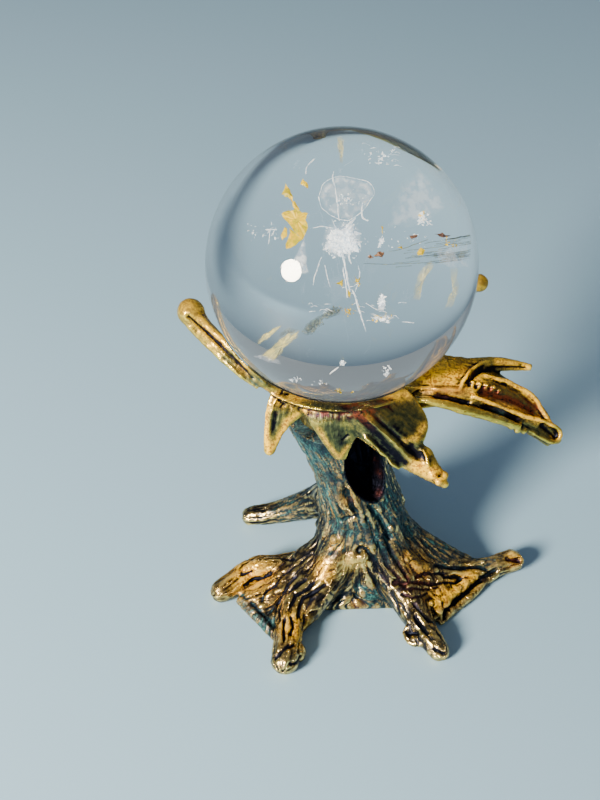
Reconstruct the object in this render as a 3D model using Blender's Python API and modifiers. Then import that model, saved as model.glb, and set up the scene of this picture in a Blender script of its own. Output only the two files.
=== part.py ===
"""Clear crystal ball on a cast tree stand.

Three solids in metres, +Z up, standing on z = 0: the ball, the leaf cradle
that holds it, and the trunk with its roots. The camera side is -Y.
"""

import math

import bmesh
import bpy
from mathutils import Matrix, Vector

MM = 0.001

# Driving dimensions
BALL_RADIUS = 25.0 * MM
BALL_CENTRE = Vector((-7.3, 1.9, 80.0)) * MM
REST_GAP = 0.3 * MM
TRUNK_TOP = 46.2 * MM
CUP_WALL = 1.6 * MM
CUP_RIM_DROP = 20.2 * MM
CUP_RIM_TILT = math.radians(6.0)
LEAF_THICKNESS = 1.7 * MM
HOLLOW_HALF_SIZE = Vector((4.3, 7.4, 9.8)) * MM
HOLLOW_LEAN = math.radians(-17.0)

# Rows of x, y, z and radius in millimetres: the middle of the trunk from below upward
TRUNK_CORE = (
    (0.5, 1.5, -4.0, 14.5),
    (0.5, 1.2, 4.0, 13.0),
    (-0.3, 0.8, 12.0, 9.7),
    (-1.8, 0.3, 22.0, 7.7),
    (-3.9, 0.0, 31.0, 6.6),
    (-6.4, 0.0, 40.0, 7.5),
    (-8.4, 0.0, 48.0, 8.8),
)

# For each root: bearing of its bark on the trunk's top, how far its bark
# strands spread, then the rows of its own run from the trunk to its tip
ROOTS = {
    "left": (200.0, 3.0, ((-9.5, -3.4, 6.2, 4.4), (-17.0, -4.2, 3.3, 3.8),
                          (-25.0, -4.4, 2.7, 3.3), (-32.0, -9.2, 2.0, 2.6))),
    "front_left": (248.0, 2.4, ((-8.2, -8.6, 8.0, 4.4), (-14.8, -13.2, 4.4, 3.4),
                                (-16.9, -19.6, 3.0, 2.9), (-18.0, -28.0, 2.1, 2.9))),
    "front_right": (298.0, 2.2, ((5.6, -8.6, 8.0, 4.4), (9.0, -13.8, 3.8, 3.8),
                                 (11.2, -19.5, 2.4, 2.8), (14.3, -25.2, 1.7, 2.2))),
    "right": (348.0, 2.4, ((7.4, -1.2, 11.2, 4.2), (15.0, -2.2, 5.2, 4.0),
                           (23.5, -3.2, 2.0, 2.5), (33.0, -0.9, 2.4, 2.6))),
    "back": (62.0, 2.4, ((3.0, 8.4, 11.0, 4.6), (3.6, 14.0, 5.2, 4.2),
                         (4.2, 20.5, 2.7, 3.1), (4.0, 27.5, 1.8, 2.4))),
    "back_left": (140.0, 1.8, ((-8.0, 8.4, 13.6, 4.4), (-13.4, 11.4, 8.2, 3.4),
                               (-19.8, 13.0, 4.2, 2.6), (-26.4, 13.6, 2.2, 2.2))),
}
ROOT_START = (26.0, 4.6)
ROOT_BUMPS = ((-15.9, -25.6, 1.8, 2.3), (9.9, -21.2, 1.8, 2.4))
STRAND_SPREAD = 12.5
STRAND_RADIUS = 1.8
STRAND_SINK = 0.2
STRAND_HEIGHTS = (50.0, 41.0, 32.0, 23.0)
STRAND_LIFTS = (0.55, 0.15)
STRAND_SHARE = 0.55

# Bark sheets between two roots, given by the two ends of their edge on the table
WEBS = {
    "left": ((-27.8, -10.5), (-18.2, -22.5), 4),
    "front": ((-11.0, -12.0), (6.0, -11.4), 4),
    "right": ((28.4, -3.2), (14.9, -16.2), 5),
    "back_right": ((19.5, 2.0), (7.0, 14.0), 3),
    "back": ((-10.0, 12.0), (0.0, 14.5), 3),
}
WEB_STARTS = (12.0, 7.0, 3.4)
WEB_MIDDLE = (0.58, 4.2, 2.6)
WEB_EDGE = (1.1, 1.5)
WEB_FLOOR = -1.0

# The hollow in the front: where it lies on the trunk, how far it reaches to
# each side and up and down, and the lip round it as radii from left to right
HOLLOW_BEARING = 300.0
HOLLOW_HEIGHT = 37.4
HOLLOW_REACH = (31.0, 10.6)
HOLLOW_LIP_RADII = (1.7, 1.3)
HOLLOW_LIP_STEPS = 12

# The cradle's twigs, each ending in a small ball
TWIGS = {
    "left": ((-16.0, -10.5, 60.0, 1.8), (-22.3, -11.0, 63.3, 1.2), (-25.6, -9.2, 65.8, 1.4),
             (-29.5, -6.6, 68.0, 2.0), (-32.7, -4.6, 70.2, 2.2), (-35.0, -3.0, 73.1, 2.2)),
    "right": ((2.0, 11.0, 58.5, 2.2), (9.6, 12.6, 61.6, 1.9), (16.2, 12.0, 66.6, 1.6),
              (19.8, 8.8, 71.6, 1.2)),
}
TWIG_KNOBS = {"left": 2.7, "right": 1.8}

# The cradle's neck between the trunk and the cup
NECK = ((-8.0, 0.0, 44.0, 7.8), (-7.8, 0.6, 48.5, 7.6), (-7.3, 1.4, 53.5, 10.4), (-7.3, 1.9, 57.0, 11.0))

# Leaves: stations along the midrib as x, y, z, left width and right width in
# millimetres, the directions of both halves at the base and at the tip, and
# how far each half's edge curls down
LEAVES = {
    "front": {
        "stations": ((-8.0, -11.0, 60.2, 8.0, 9.0), (-5.2, -15.6, 60.6, 7.0, 9.6),
                     (-1.8, -17.2, 58.2, 4.4, 9.0), (2.4, -18.6, 54.8, 3.6, 6.8),
                     (4.9, -19.4, 52.9, 3.3, 2.9), (6.6, -19.9, 51.7, 2.8, 2.8),
                     (9.2, -20.7, 49.6, 1.7, 1.5),
                     (11.2, -21.3, 48.0, 0.9, 0.9)),
        "left": ((-0.80, 0.25, -0.54), (-0.55, 0.0, -0.83)),
        "right": ((0.90, 0.42, 0.10), (0.80, 0.10, 0.59)),
        "curl": (0.4, 0.8),
    },
    "front_lobe": {
        "stations": ((-8.0, -11.0, 60.2, 7.0, 5.0), (-8.2, -15.2, 58.8, 5.6, 5.0),
                     (-8.0, -16.2, 55.4, 3.8, 3.6), (-7.6, -16.3, 52.2, 2.4, 2.0),
                     (-7.2, -16.2, 48.8, 0.7, 0.7)),
        "left": ((-0.97, 0.20, -0.14), (-1.0, 0.0, 0.0)),
        "right": ((0.97, -0.20, 0.10), (1.0, 0.0, 0.0)),
        "curl": (0.5, 0.2),
    },
    "left": {
        "stations": ((-16.5, -9.0, 61.0, 2.0, 8.0), (-18.8, -11.4, 60.2, 1.2, 8.0),
                     (-20.0, -12.8, 57.4, 0.9, 5.0), (-20.5, -13.6, 54.0, 0.6, 2.8),
                     (-20.7, -14.1, 50.8, 0.6, 1.4), (-20.7, -14.3, 48.8, 0.5, 0.6)),
        "left": ((-0.90, 0.43, 0.0), (-1.0, 0.1, 0.0)),
        "right": ((0.93, -0.20, -0.30), (1.0, 0.1, 0.0)),
        "curl": (0.2, 0.3),
    },
    "right": {
        "stations": ((5.0, -6.0, 61.0, 5.0, 6.4), (11.0, -7.6, 62.2, 4.8, 5.2),
                     (17.4, -8.4, 61.4, 5.2, 5.0), (23.2, -9.2, 59.0, 4.0, 4.4),
                     (28.0, -10.2, 56.0, 3.2, 3.1), (31.8, -11.3, 52.8, 1.8, 2.0),
                     (34.0, -12.2, 50.2, 0.9, 0.9)),
        "left": ((0.05, 0.98, 0.12), (0.30, 0.90, 0.10)),
        "right": ((0.0, -0.90, -0.43), (-0.25, -0.80, -0.50)),
        "curl": (0.6, 1.8),
    },
    "back": {
        "stations": ((-9.0, 13.0, 57.6, 6.0, 6.0), (-10.4, 18.2, 57.4, 5.6, 5.6),
                     (-11.8, 22.2, 54.6, 4.4, 4.4), (-12.8, 24.6, 51.0, 2.4, 2.4),
                     (-13.2, 25.8, 48.4, 0.8, 0.8)),
        "left": ((0.97, 0.22, 0.0), (0.97, 0.22, 0.0)),
        "right": ((-0.97, -0.22, 0.0), (-0.97, -0.22, 0.0)),
        "curl": (0.9, 0.9),
    },
}
LEAF_KNOBS = (
    (11.3, -21.3, 47.9, 1.6), (-20.7, -14.3, 48.9, 1.1),
    (34.1, -12.3, 50.1, 1.2), (-13.2, 25.8, 48.5, 1.2),
)
LEAF_SPURS = (
    ((16.0, -4.2, 61.2, 1.6), (23.0, -3.4, 61.2, 1.4), (29.4, -3.6, 60.6, 0.6)),
    ((23.0, -6.6, 59.2, 1.2), (28.6, -8.2, 56.4, 1.2), (32.2, -10.4, 53.0, 1.0)),
)
MIDRIB_RADIUS = 0.9
MIDRIB_LIFT = 0.75

# How finely the castings are worked
TRUNK_VOXEL = 0.8 * MM
TRUNK_KEEP = 0.128
CRADLE_VOXEL = 0.6 * MM
CRADLE_KEEP = 0.078
TUBE_STEPS = 7
LEAF_STEPS = 18
LEAF_HALF_COLUMNS = 5
RIB_REACH = 0.02
SKYWARD = Vector((0.0, -1.0, 1.0))
SEAT_FACES = (48, 32)
WORK_SPAN = 8 * BALL_RADIUS

# Base colour, roughness and metallic value of each piece
FINISHES = {
    "crystal_sphere": ((0.86, 0.93, 0.96), 0.03, 0.0),
    "leaf_cradle": ((0.62, 0.45, 0.16), 0.34, 1.0),
    "tree_trunk": ((0.36, 0.29, 0.15), 0.42, 1.0),
}


def clear_scene():
    """Remove whatever the new file starts with."""
    for item in list(bpy.data.objects):
        bpy.data.objects.remove(item, do_unlink=True)


def new_collection(name):
    """Make a collection and link it to the scene."""
    collection = bpy.data.collections.new(name)
    bpy.context.scene.collection.children.link(collection)
    return collection


def point(row):
    """Turn the first three numbers of a row in millimetres into a place in metres."""
    return Vector(row[:3]) * MM


def along(rows, position):
    """Read a smooth curve through the rows at a position from 0 to 1."""
    spans = len(rows) - 1
    index = min(int(position * spans), spans - 1)
    rest = position * spans - index
    before, start = rows[max(index - 1, 0)], rows[index]
    end, after = rows[index + 1], rows[min(index + 2, spans)]
    square, cube = rest * rest, rest ** 3
    weights = (-cube + 2 * square - rest, 3 * cube - 5 * square + 2,
               -3 * cube + 4 * square + rest, cube - square)
    return [sum(w * row[i] for w, row in zip(weights, (before, start, end, after))) / 2
            for i in range(len(start))]


def trunk_section(height):
    """Give the middle and the radius of the trunk's core at a height, in millimetres."""
    above = next((index for index, row in enumerate(TRUNK_CORE) if row[2] >= height), len(TRUNK_CORE) - 1)
    low, high = TRUNK_CORE[above - 1], TRUNK_CORE[above]
    rest = (height - low[2]) / (high[2] - low[2])
    return [start + (end - start) * rest for start, end in zip(low, high)]


def on_trunk(bearing, height, sink=STRAND_SINK, radius=STRAND_RADIUS):
    """Give the row of a bark strand that lies on the trunk at a bearing and height."""
    middle_x, middle_y, _, core = trunk_section(height)
    reach = core - sink
    angle = math.radians(bearing)
    return (middle_x + reach * math.cos(angle), middle_y + reach * math.sin(angle), height, radius)


def strand_rows(bearing, spread, run, side):
    """Give one bark strand down the trunk and out along its root; the middle one starts low."""
    heights = STRAND_HEIGHTS if side else STRAND_HEIGHTS[-1:]
    rows = [on_trunk(bearing + side * STRAND_SPREAD, height) for height in heights]
    run_start, run_end = Vector(run[0][:2]), Vector(run[-1][:2])
    outward = (run_end - run_start).normalized()
    across = Vector((-outward.y, outward.x)) * side
    for x, y, z, radius in run[:-1]:
        shift = across * spread * radius / run[0][3]
        rows.append((x + shift.x, y + shift.y, z + radius * STRAND_LIFTS[abs(side)], radius * STRAND_SHARE))
    tip_x, tip_y, tip_z, tip_radius = run[-1]
    rows.append((tip_x, tip_y, tip_z, tip_radius * STRAND_SHARE))
    return rows


def root_rows(run):
    """Give a whole root, from inside the trunk to its tip."""
    height, radius = ROOT_START
    middle_x, middle_y, *_ = trunk_section(height)
    return [(middle_x, middle_y, height, radius), *run]


def web_rows(name):
    """Give the strands of one bark sheet and the raised rim along its edge."""
    first, last, count = WEBS[name]
    start_height, start_reach, start_radius = WEB_STARTS
    middle_share, middle_height, middle_radius = WEB_MIDDLE
    edge_height, edge_radius = WEB_EDGE
    edges = [Vector(first).lerp(Vector(last), index / (count - 1)) for index in range(count)]
    strands = []
    for edge in edges:
        start = edge.normalized() * start_reach
        middle = start.lerp(edge, middle_share)
        strands.append([(start.x, start.y, start_height, start_radius),
                        (middle.x, middle.y, middle_height, middle_radius),
                        (edge.x, edge.y, edge_height, edge_radius)])
    strands.append([(edge.x, edge.y, edge_height, edge_radius) for edge in edges])
    return strands


def add_web_filling(form, name):
    """Fill a bark sheet down to the table with a wedge under its strands."""
    first, last, _ = WEBS[name]
    start_height, start_reach, _ = WEB_STARTS
    corners = [(0.0, 0.0, WEB_FLOOR)]
    for edge in (Vector(first), Vector(last)):
        start = edge.normalized() * start_reach
        middle = start.lerp(edge, WEB_MIDDLE[0])
        corners += [(start.x, start.y, start_height), (middle.x, middle.y, WEB_MIDDLE[1]),
                    (edge.x, edge.y, WEB_FLOOR), (edge.x, edge.y, WEB_EDGE[0])]
    wedge = bmesh.new()
    for corner in corners:
        wedge.verts.new(point(corner))
    hull = bmesh.ops.convex_hull(wedge, input=wedge.verts)
    bmesh.ops.delete(wedge, geom=list(set(hull["geom_unused"] + hull["geom_interior"])), context="VERTS")
    add_form(form, wedge)


def hollow_lip():
    """Give the ring of bark that stands up round the hollow."""
    rows = []
    for step in range(HOLLOW_LIP_STEPS + 1):
        turn = 2 * math.pi * step / HOLLOW_LIP_STEPS
        share = (math.cos(turn) + 1) / 2
        radius = HOLLOW_LIP_RADII[0] + (HOLLOW_LIP_RADII[1] - HOLLOW_LIP_RADII[0]) * share
        rows.append(on_trunk(HOLLOW_BEARING + HOLLOW_REACH[0] * math.cos(turn),
                             HOLLOW_HEIGHT + HOLLOW_REACH[1] * math.sin(turn), 0.0, radius))
    return rows


def add_form(form, part):
    """Add one form to another and free it."""
    mesh = bpy.data.meshes.new("part")
    bmesh.ops.recalc_face_normals(part, faces=part.faces)
    part.to_mesh(mesh)
    part.free()
    form.from_mesh(mesh)
    bpy.data.meshes.remove(mesh)


def add_tubes(form, tubes):
    """Sweep a round section of changing radius along each row of points."""
    curve = bpy.data.curves.new("tubes", "CURVE")
    curve.dimensions = "3D"
    curve.bevel_depth = MM
    curve.bevel_resolution = 2
    curve.resolution_u = TUBE_STEPS
    curve.use_fill_caps = True
    for rows in tubes:
        spline = curve.splines.new("BEZIER")
        spline.bezier_points.add(len(rows) - 1)
        for knot, row in zip(spline.bezier_points, rows):
            knot.co = point(row)
            knot.radius = row[3]
            knot.handle_left_type = knot.handle_right_type = "AUTO"
    carrier = bpy.data.objects.new("tubes", curve)
    mesh = bpy.data.meshes.new_from_object(carrier)
    form.from_mesh(mesh)
    bpy.data.objects.remove(carrier)
    bpy.data.meshes.remove(mesh)


def add_knobs(form, rows):
    """Put a round knob at each row."""
    for row in rows:
        bmesh.ops.create_icosphere(form, subdivisions=2, radius=row[3] * MM,
                                   matrix=Matrix.Translation(point(row)))


def leaf_surface(leaf):
    """Lay out the leaf's middle surface as a grid of places, edge to edge."""
    grid = []
    for step in range(LEAF_STEPS + 1):
        position = step / LEAF_STEPS
        station = along(leaf["stations"], position)
        rib = point(station)
        halves = []
        for side, width, curl in zip(("left", "right"), station[3:], leaf["curl"]):
            base, tip = (Vector(direction) for direction in leaf[side])
            halves.append((base.lerp(tip, position).normalized(), width * MM, curl * MM))
        ahead = point(along(leaf["stations"], min(position + RIB_REACH, 1.0)))
        behind = point(along(leaf["stations"], max(position - RIB_REACH, 0.0)))
        upward = (ahead - behind).cross(halves[0][0] - halves[1][0]).normalized()
        if upward.dot(SKYWARD) < 0:
            upward.negate()
        row = []
        for column in range(-LEAF_HALF_COLUMNS, LEAF_HALF_COLUMNS + 1):
            reach = abs(column) / LEAF_HALF_COLUMNS
            direction, width, curl = halves[0] if column < 0 else halves[1]
            row.append(rib + direction * width * reach - upward * curl * reach ** 3)
        grid.append(row)
    return grid


def add_leaf(form, leaf):
    """Add a leaf as a thick sheet with a raised midrib."""
    grid = leaf_surface(leaf)
    sheet = bmesh.new()
    places = [[sheet.verts.new(place) for place in row] for row in grid]
    for lower, upper in zip(places, places[1:]):
        for index in range(len(lower) - 1):
            sheet.faces.new((lower[index], lower[index + 1], upper[index + 1], upper[index]))
    mesh = bpy.data.meshes.new("leaf")
    sheet.to_mesh(mesh)
    sheet.free()
    carrier = bpy.data.objects.new("leaf", mesh)
    thicken = carrier.modifiers.new("thicken", "SOLIDIFY")
    thicken.thickness = LEAF_THICKNESS
    thicken.offset = 0.0
    bpy.context.scene.collection.objects.link(carrier)
    depsgraph = bpy.context.evaluated_depsgraph_get()
    thick = bpy.data.meshes.new_from_object(carrier.evaluated_get(depsgraph))
    form.from_mesh(thick)
    bpy.data.objects.remove(carrier)
    bpy.data.meshes.remove(thick)
    rib = [(x, y, z + MIDRIB_LIFT, MIDRIB_RADIUS) for x, y, z, *_ in leaf["stations"]]
    add_tubes(form, [rib])


def add_cup(form):
    """Add the lens-shaped blank of the cup, cut off at its tilted rim."""
    blank = bmesh.new()
    bmesh.ops.create_uvsphere(blank, u_segments=SEAT_FACES[0], v_segments=SEAT_FACES[1],
                              radius=BALL_RADIUS + REST_GAP + CUP_WALL, matrix=Matrix.Translation(BALL_CENTRE))
    rim = BALL_CENTRE - Vector((0.0, 0.0, CUP_RIM_DROP))
    normal = Vector((0.0, math.sin(CUP_RIM_TILT), math.cos(CUP_RIM_TILT)))
    cut = bmesh.ops.bisect_plane(blank, geom=blank.verts[:] + blank.edges[:] + blank.faces[:],
                                 plane_co=rim, plane_no=normal, clear_outer=True)
    edges = [item for item in cut["geom_cut"] if isinstance(item, bmesh.types.BMEdge)]
    bmesh.ops.holes_fill(blank, edges=edges)
    add_form(form, blank)


def new_object(name, form, collection):
    """Turn a form into an object in a collection."""
    mesh = bpy.data.meshes.new(name)
    bmesh.ops.recalc_face_normals(form, faces=form.faces)
    form.to_mesh(mesh)
    form.free()
    item = bpy.data.objects.new(name, mesh)
    collection.objects.link(item)
    return item


def paint(item):
    """Give a piece its own plain material."""
    material = bpy.data.materials.new(item.name)
    material.use_nodes = True
    shader = material.node_tree.nodes["Principled BSDF"]
    colour, roughness, metallic = FINISHES[item.name]
    shader.inputs["Base Color"].default_value = (*colour, 1.0)
    shader.inputs["Roughness"].default_value = roughness
    shader.inputs["Metallic"].default_value = metallic
    item.data.materials.append(material)


def new_cutter(name, form, collection):
    """Make a hidden cutter."""
    cutter = new_object(name, form, collection)
    cutter.hide_render = True
    cutter.display_type = "WIRE"
    return cutter


def block(low, high):
    """Make a box between two heights that is wider than the whole stand."""
    form = bmesh.new()
    matrix = (Matrix.Translation((0.0, 0.0, (low + high) / 2))
              @ Matrix.Diagonal((WORK_SPAN, WORK_SPAN, high - low, 1.0)))
    bmesh.ops.create_cube(form, size=1.0, matrix=matrix)
    return form


def merge(item, voxel, keep):
    """Fuse the overlapping parts of a casting into one skin with few faces."""
    fuse = item.modifiers.new("fuse", "REMESH")
    fuse.mode = "VOXEL"
    fuse.voxel_size = voxel
    thin = item.modifiers.new("thin_out", "DECIMATE")
    thin.ratio = keep


def cut(item, cutter):
    """Take the cutter away from the piece."""
    step = item.modifiers.new(cutter.name, "BOOLEAN")
    step.operation = "DIFFERENCE"
    step.solver = "EXACT"
    step.object = cutter


def build_ball(parts):
    """Build the ball."""
    form = bmesh.new()
    bmesh.ops.create_icosphere(form, subdivisions=4, radius=BALL_RADIUS,
                               matrix=Matrix.Translation(BALL_CENTRE))
    return new_object("crystal_sphere", form, parts)


def build_trunk(parts, cutters):
    """Build the trunk with its roots, bark strands, webs and hollow."""
    form = bmesh.new()
    tubes = [TRUNK_CORE, hollow_lip()]
    knobs = []
    for bearing, spread, run in ROOTS.values():
        tubes.append(root_rows(run))
        knobs.append(run[-1])
        tubes.extend(strand_rows(bearing, spread, run, side) for side in (-1, 0, 1))
    for name in WEBS:
        tubes.extend(web_rows(name))
        add_web_filling(form, name)
    add_tubes(form, tubes)
    add_knobs(form, knobs)
    add_knobs(form, ROOT_BUMPS)
    trunk = new_object("tree_trunk", form, parts)
    merge(trunk, TRUNK_VOXEL, TRUNK_KEEP)

    pocket = bmesh.new()
    facing = math.radians(HOLLOW_BEARING + 90.0)
    place = (Matrix.Translation(point(on_trunk(HOLLOW_BEARING, HOLLOW_HEIGHT, 0.0)))
             @ Matrix.Rotation(HOLLOW_LEAN, 4, "Y") @ Matrix.Rotation(facing, 4, "Z")
             @ Matrix.Diagonal((*HOLLOW_HALF_SIZE, 1.0)))
    bmesh.ops.create_icosphere(pocket, subdivisions=3, radius=1.0, matrix=place)
    cut(trunk, new_cutter("hollow", pocket, cutters))
    cut(trunk, new_cutter("table", block(-BALL_RADIUS, 0.0), cutters))
    cut(trunk, new_cutter("above_trunk", block(TRUNK_TOP, 2 * TRUNK_TOP), cutters))
    return trunk


def build_cradle(parts, cutters):
    """Build the cup with its neck, twigs and leaves."""
    form = bmesh.new()
    add_cup(form)
    add_tubes(form, [NECK, *TWIGS.values(), *LEAF_SPURS])
    add_knobs(form, [(*rows[-1][:3], TWIG_KNOBS[name]) for name, rows in TWIGS.items()])
    add_knobs(form, LEAF_KNOBS)
    for leaf in LEAVES.values():
        add_leaf(form, leaf)
    cradle = new_object("leaf_cradle", form, parts)
    merge(cradle, CRADLE_VOXEL, CRADLE_KEEP)

    seat = bmesh.new()
    bmesh.ops.create_uvsphere(seat, u_segments=SEAT_FACES[0], v_segments=SEAT_FACES[1],
                              radius=BALL_RADIUS + REST_GAP, matrix=Matrix.Translation(BALL_CENTRE))
    cut(cradle, new_cutter("seat", seat, cutters))
    cut(cradle, new_cutter("below_cradle", block(-BALL_RADIUS, TRUNK_TOP + REST_GAP), cutters))
    return cradle


def main():
    """Build the three pieces."""
    clear_scene()
    parts = new_collection("decorative_sphere")
    cutters = new_collection("cutters")
    for item in (build_ball(parts), build_cradle(parts, cutters), build_trunk(parts, cutters)):
        paint(item)


main()
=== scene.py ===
"""Looks of a clear crystal ball on a cast tree stand.

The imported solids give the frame. The trunk and the cradle are built again here
with fine bark, leaf veins and crevices, on the same skeletons as the solids,
and the ball is built smooth with the veils and flakes that are sealed in it.
Sizes and places are in millimetres; the camera side is -Y.
"""

import logging
import math
import random
from collections.abc import Iterable, Sequence
from dataclasses import dataclass
from enum import Enum

import bmesh
import bpy
import numpy as np
from mathutils import Matrix, Vector, noise
from mathutils.kdtree import KDTree


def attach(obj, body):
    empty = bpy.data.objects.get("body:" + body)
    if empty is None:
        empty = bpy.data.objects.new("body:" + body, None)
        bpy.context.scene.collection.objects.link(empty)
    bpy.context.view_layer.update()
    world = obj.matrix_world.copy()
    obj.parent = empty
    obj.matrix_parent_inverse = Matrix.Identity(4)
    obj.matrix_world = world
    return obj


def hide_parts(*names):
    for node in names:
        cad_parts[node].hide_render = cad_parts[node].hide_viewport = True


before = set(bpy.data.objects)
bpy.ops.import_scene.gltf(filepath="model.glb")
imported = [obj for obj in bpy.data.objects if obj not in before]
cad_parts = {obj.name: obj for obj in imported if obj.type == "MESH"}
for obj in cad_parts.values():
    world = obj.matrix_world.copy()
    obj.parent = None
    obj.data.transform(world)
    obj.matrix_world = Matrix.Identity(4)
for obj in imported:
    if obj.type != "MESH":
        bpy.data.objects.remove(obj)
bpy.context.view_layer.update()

MM = 0.001
BODY = "root"
TRACE = logging.getLogger("decorative_sphere")

Place = tuple[float, float, float]
Row = tuple[float, float, float, float]
Rows = Sequence[Row]
Line = tuple[Place, ...]
Runs = tuple[tuple[Row, ...], ...]
Band = tuple[float, float, Line]
Colour = tuple[float, float, float]
Span = tuple[float, float]
Array = np.ndarray
Item = bpy.types.Object
Mesh = bpy.types.Mesh
Material = bpy.types.Material
Part = bmesh.types.BMesh
Socket = bpy.types.NodeSocket
Value = Socket | float | str | Colour
Inputs = dict[int | str, Value]

BALL_RADIUS = 25.0
BALL_MIDDLE: Place = (-7.3, 1.9, 80.0)


class Tone(Enum):
    """The colour patches that a casting can carry, as names of vertex attributes."""

    # Dark grooves and crevices, plus painted shade where a band lays it on; a band that takes it away paints
    # a highlight.
    GROOVE_AND_SHADE = "groove"
    PATINA = "patina"
    GILT = "gilt"
    BLUSH = "blush"


@dataclass(frozen=True)
class Mark:
    """A crevice worked into a casting between two places."""

    start: Place
    end: Place
    reach: float
    depth: float
    dark: float = 1.0


def metres(row: Sequence[float]) -> Vector:
    """Turn the first three numbers of a row in millimetres into a place in metres."""
    return Vector(row[:3]) * MM


def at(row: Sequence[float]) -> Matrix:
    """Give the move from the origin to a row's place."""
    return Matrix.Translation(metres(row))


def along(rows: Sequence[Sequence[float]], position: float) -> list[float]:
    """Read a smooth curve through rows of numbers.

    Args:
        rows: The rows that the curve passes through.
        position: Where to read it, from 0 at the first row to 1 at the last.

    Returns:
        The row at that position.
    """
    spans = len(rows) - 1
    index = min(int(position * spans), spans - 1)
    rest = position * spans - index
    before, start = rows[max(index - 1, 0)], rows[index]
    end, after = rows[index + 1], rows[min(index + 2, spans)]
    square, cube = rest * rest, rest ** 3
    weights = (-cube + 2 * square - rest, 3 * cube - 5 * square + 2,
               -3 * cube + 4 * square + rest, cube - square)
    return [sum(w * row[i] for w, row in zip(weights, (before, start, end, after))) / 2
            for i in range(len(start))]


def marks_along(places: Line, reach: float, depth: float, dark: float = 1.0) -> list[Mark]:
    """Make a chain of marks through places, by its half width, its depth and how dark it is."""
    return [Mark(start, end, reach, depth, dark) for start, end in zip(places, places[1:])]


def mesh_of(part: Part, name: str, outward: bool = False) -> Mesh:
    """Turn a part in the making into a mesh.

    Args:
        part: The part, which is freed.
        name: The mesh's name.
        outward: Whether its faces are turned outward first.

    Returns:
        The mesh.
    """
    if outward:
        bmesh.ops.recalc_face_normals(part, faces=part.faces)
    mesh = bpy.data.meshes.new(name)
    part.to_mesh(mesh)
    part.free()
    return mesh


def new_carrier(name: str, data: bpy.types.ID) -> Item:
    """Make an object for a mesh, lamp or camera and link it to the scene."""
    item = bpy.data.objects.new(name, data)
    bpy.context.scene.collection.objects.link(item)
    return item


def finished_mesh(item: Item) -> Mesh:
    """Turn an object with its modifiers into a plain mesh and remove the object.

    Args:
        item: The object, linked to the scene.

    Returns:
        The new mesh.
    """
    bpy.context.view_layer.update()
    depsgraph = bpy.context.evaluated_depsgraph_get()
    mesh = bpy.data.meshes.new_from_object(item.evaluated_get(depsgraph))
    bpy.data.objects.remove(item)
    return mesh


def settle(item: Item, node: str, covers: bool = False) -> None:
    """Put a finished piece on the object's one body.

    Args:
        item: The piece.
        node: The CAD node that is hidden when the piece stands for it.
        covers: Whether the piece stands for that node.
    """
    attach(item, BODY)
    if covers:
        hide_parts(node)
    triangles = sum(len(face.vertices) - 2 for face in item.data.polygons)
    TRACE.info("%s: %d triangles", item.name, triangles)


class Graph:
    """Lays out the nodes of a tree and joins them."""

    def __init__(self, tree: bpy.types.NodeTree) -> None:
        """Take the tree."""
        self.tree = tree

    def feed(self, socket: Socket, value: Value) -> None:
        """Join a socket to another, or give it a plain value."""
        if isinstance(value, Socket):
            self.tree.links.new(value, socket)
        elif socket.type == "RGBA":
            socket.default_value = (*value, 1.0)
        else:
            socket.default_value = value

    def node(self, kind: str, inputs: Inputs, **settings: str | bool) -> bpy.types.Node:
        """Add a node.

        Args:
            kind: The node's type.
            inputs: What its inputs get, by name or number.
            settings: Its properties.

        Returns:
            The node.
        """
        node = self.tree.nodes.new(kind)
        for name, value in settings.items():
            setattr(node, name, value)
        for key, value in inputs.items():
            self.feed(node.inputs[key], value)
        return node

    def add(self, kind: str, inputs: Inputs, out: int | str = 0, **settings: str | bool) -> Socket:
        """Add a node and give one of its outputs."""
        return self.node(kind, inputs, **settings).outputs[out]

    def math(self, operation: str, first: Value, second: Value, clamp: bool = False) -> Socket:
        """Work out one number from two."""
        return self.add("ShaderNodeMath", {0: first, 1: second}, operation=operation, use_clamp=clamp)

    def times(self, first: Value, second: Value) -> Socket:
        """Multiply two numbers."""
        return self.math("MULTIPLY", first, second)

    def vector(self, operation: str, inputs: Inputs) -> Socket:
        """Work out one vector."""
        return self.add("ShaderNodeVectorMath", inputs, operation=operation)


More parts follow.
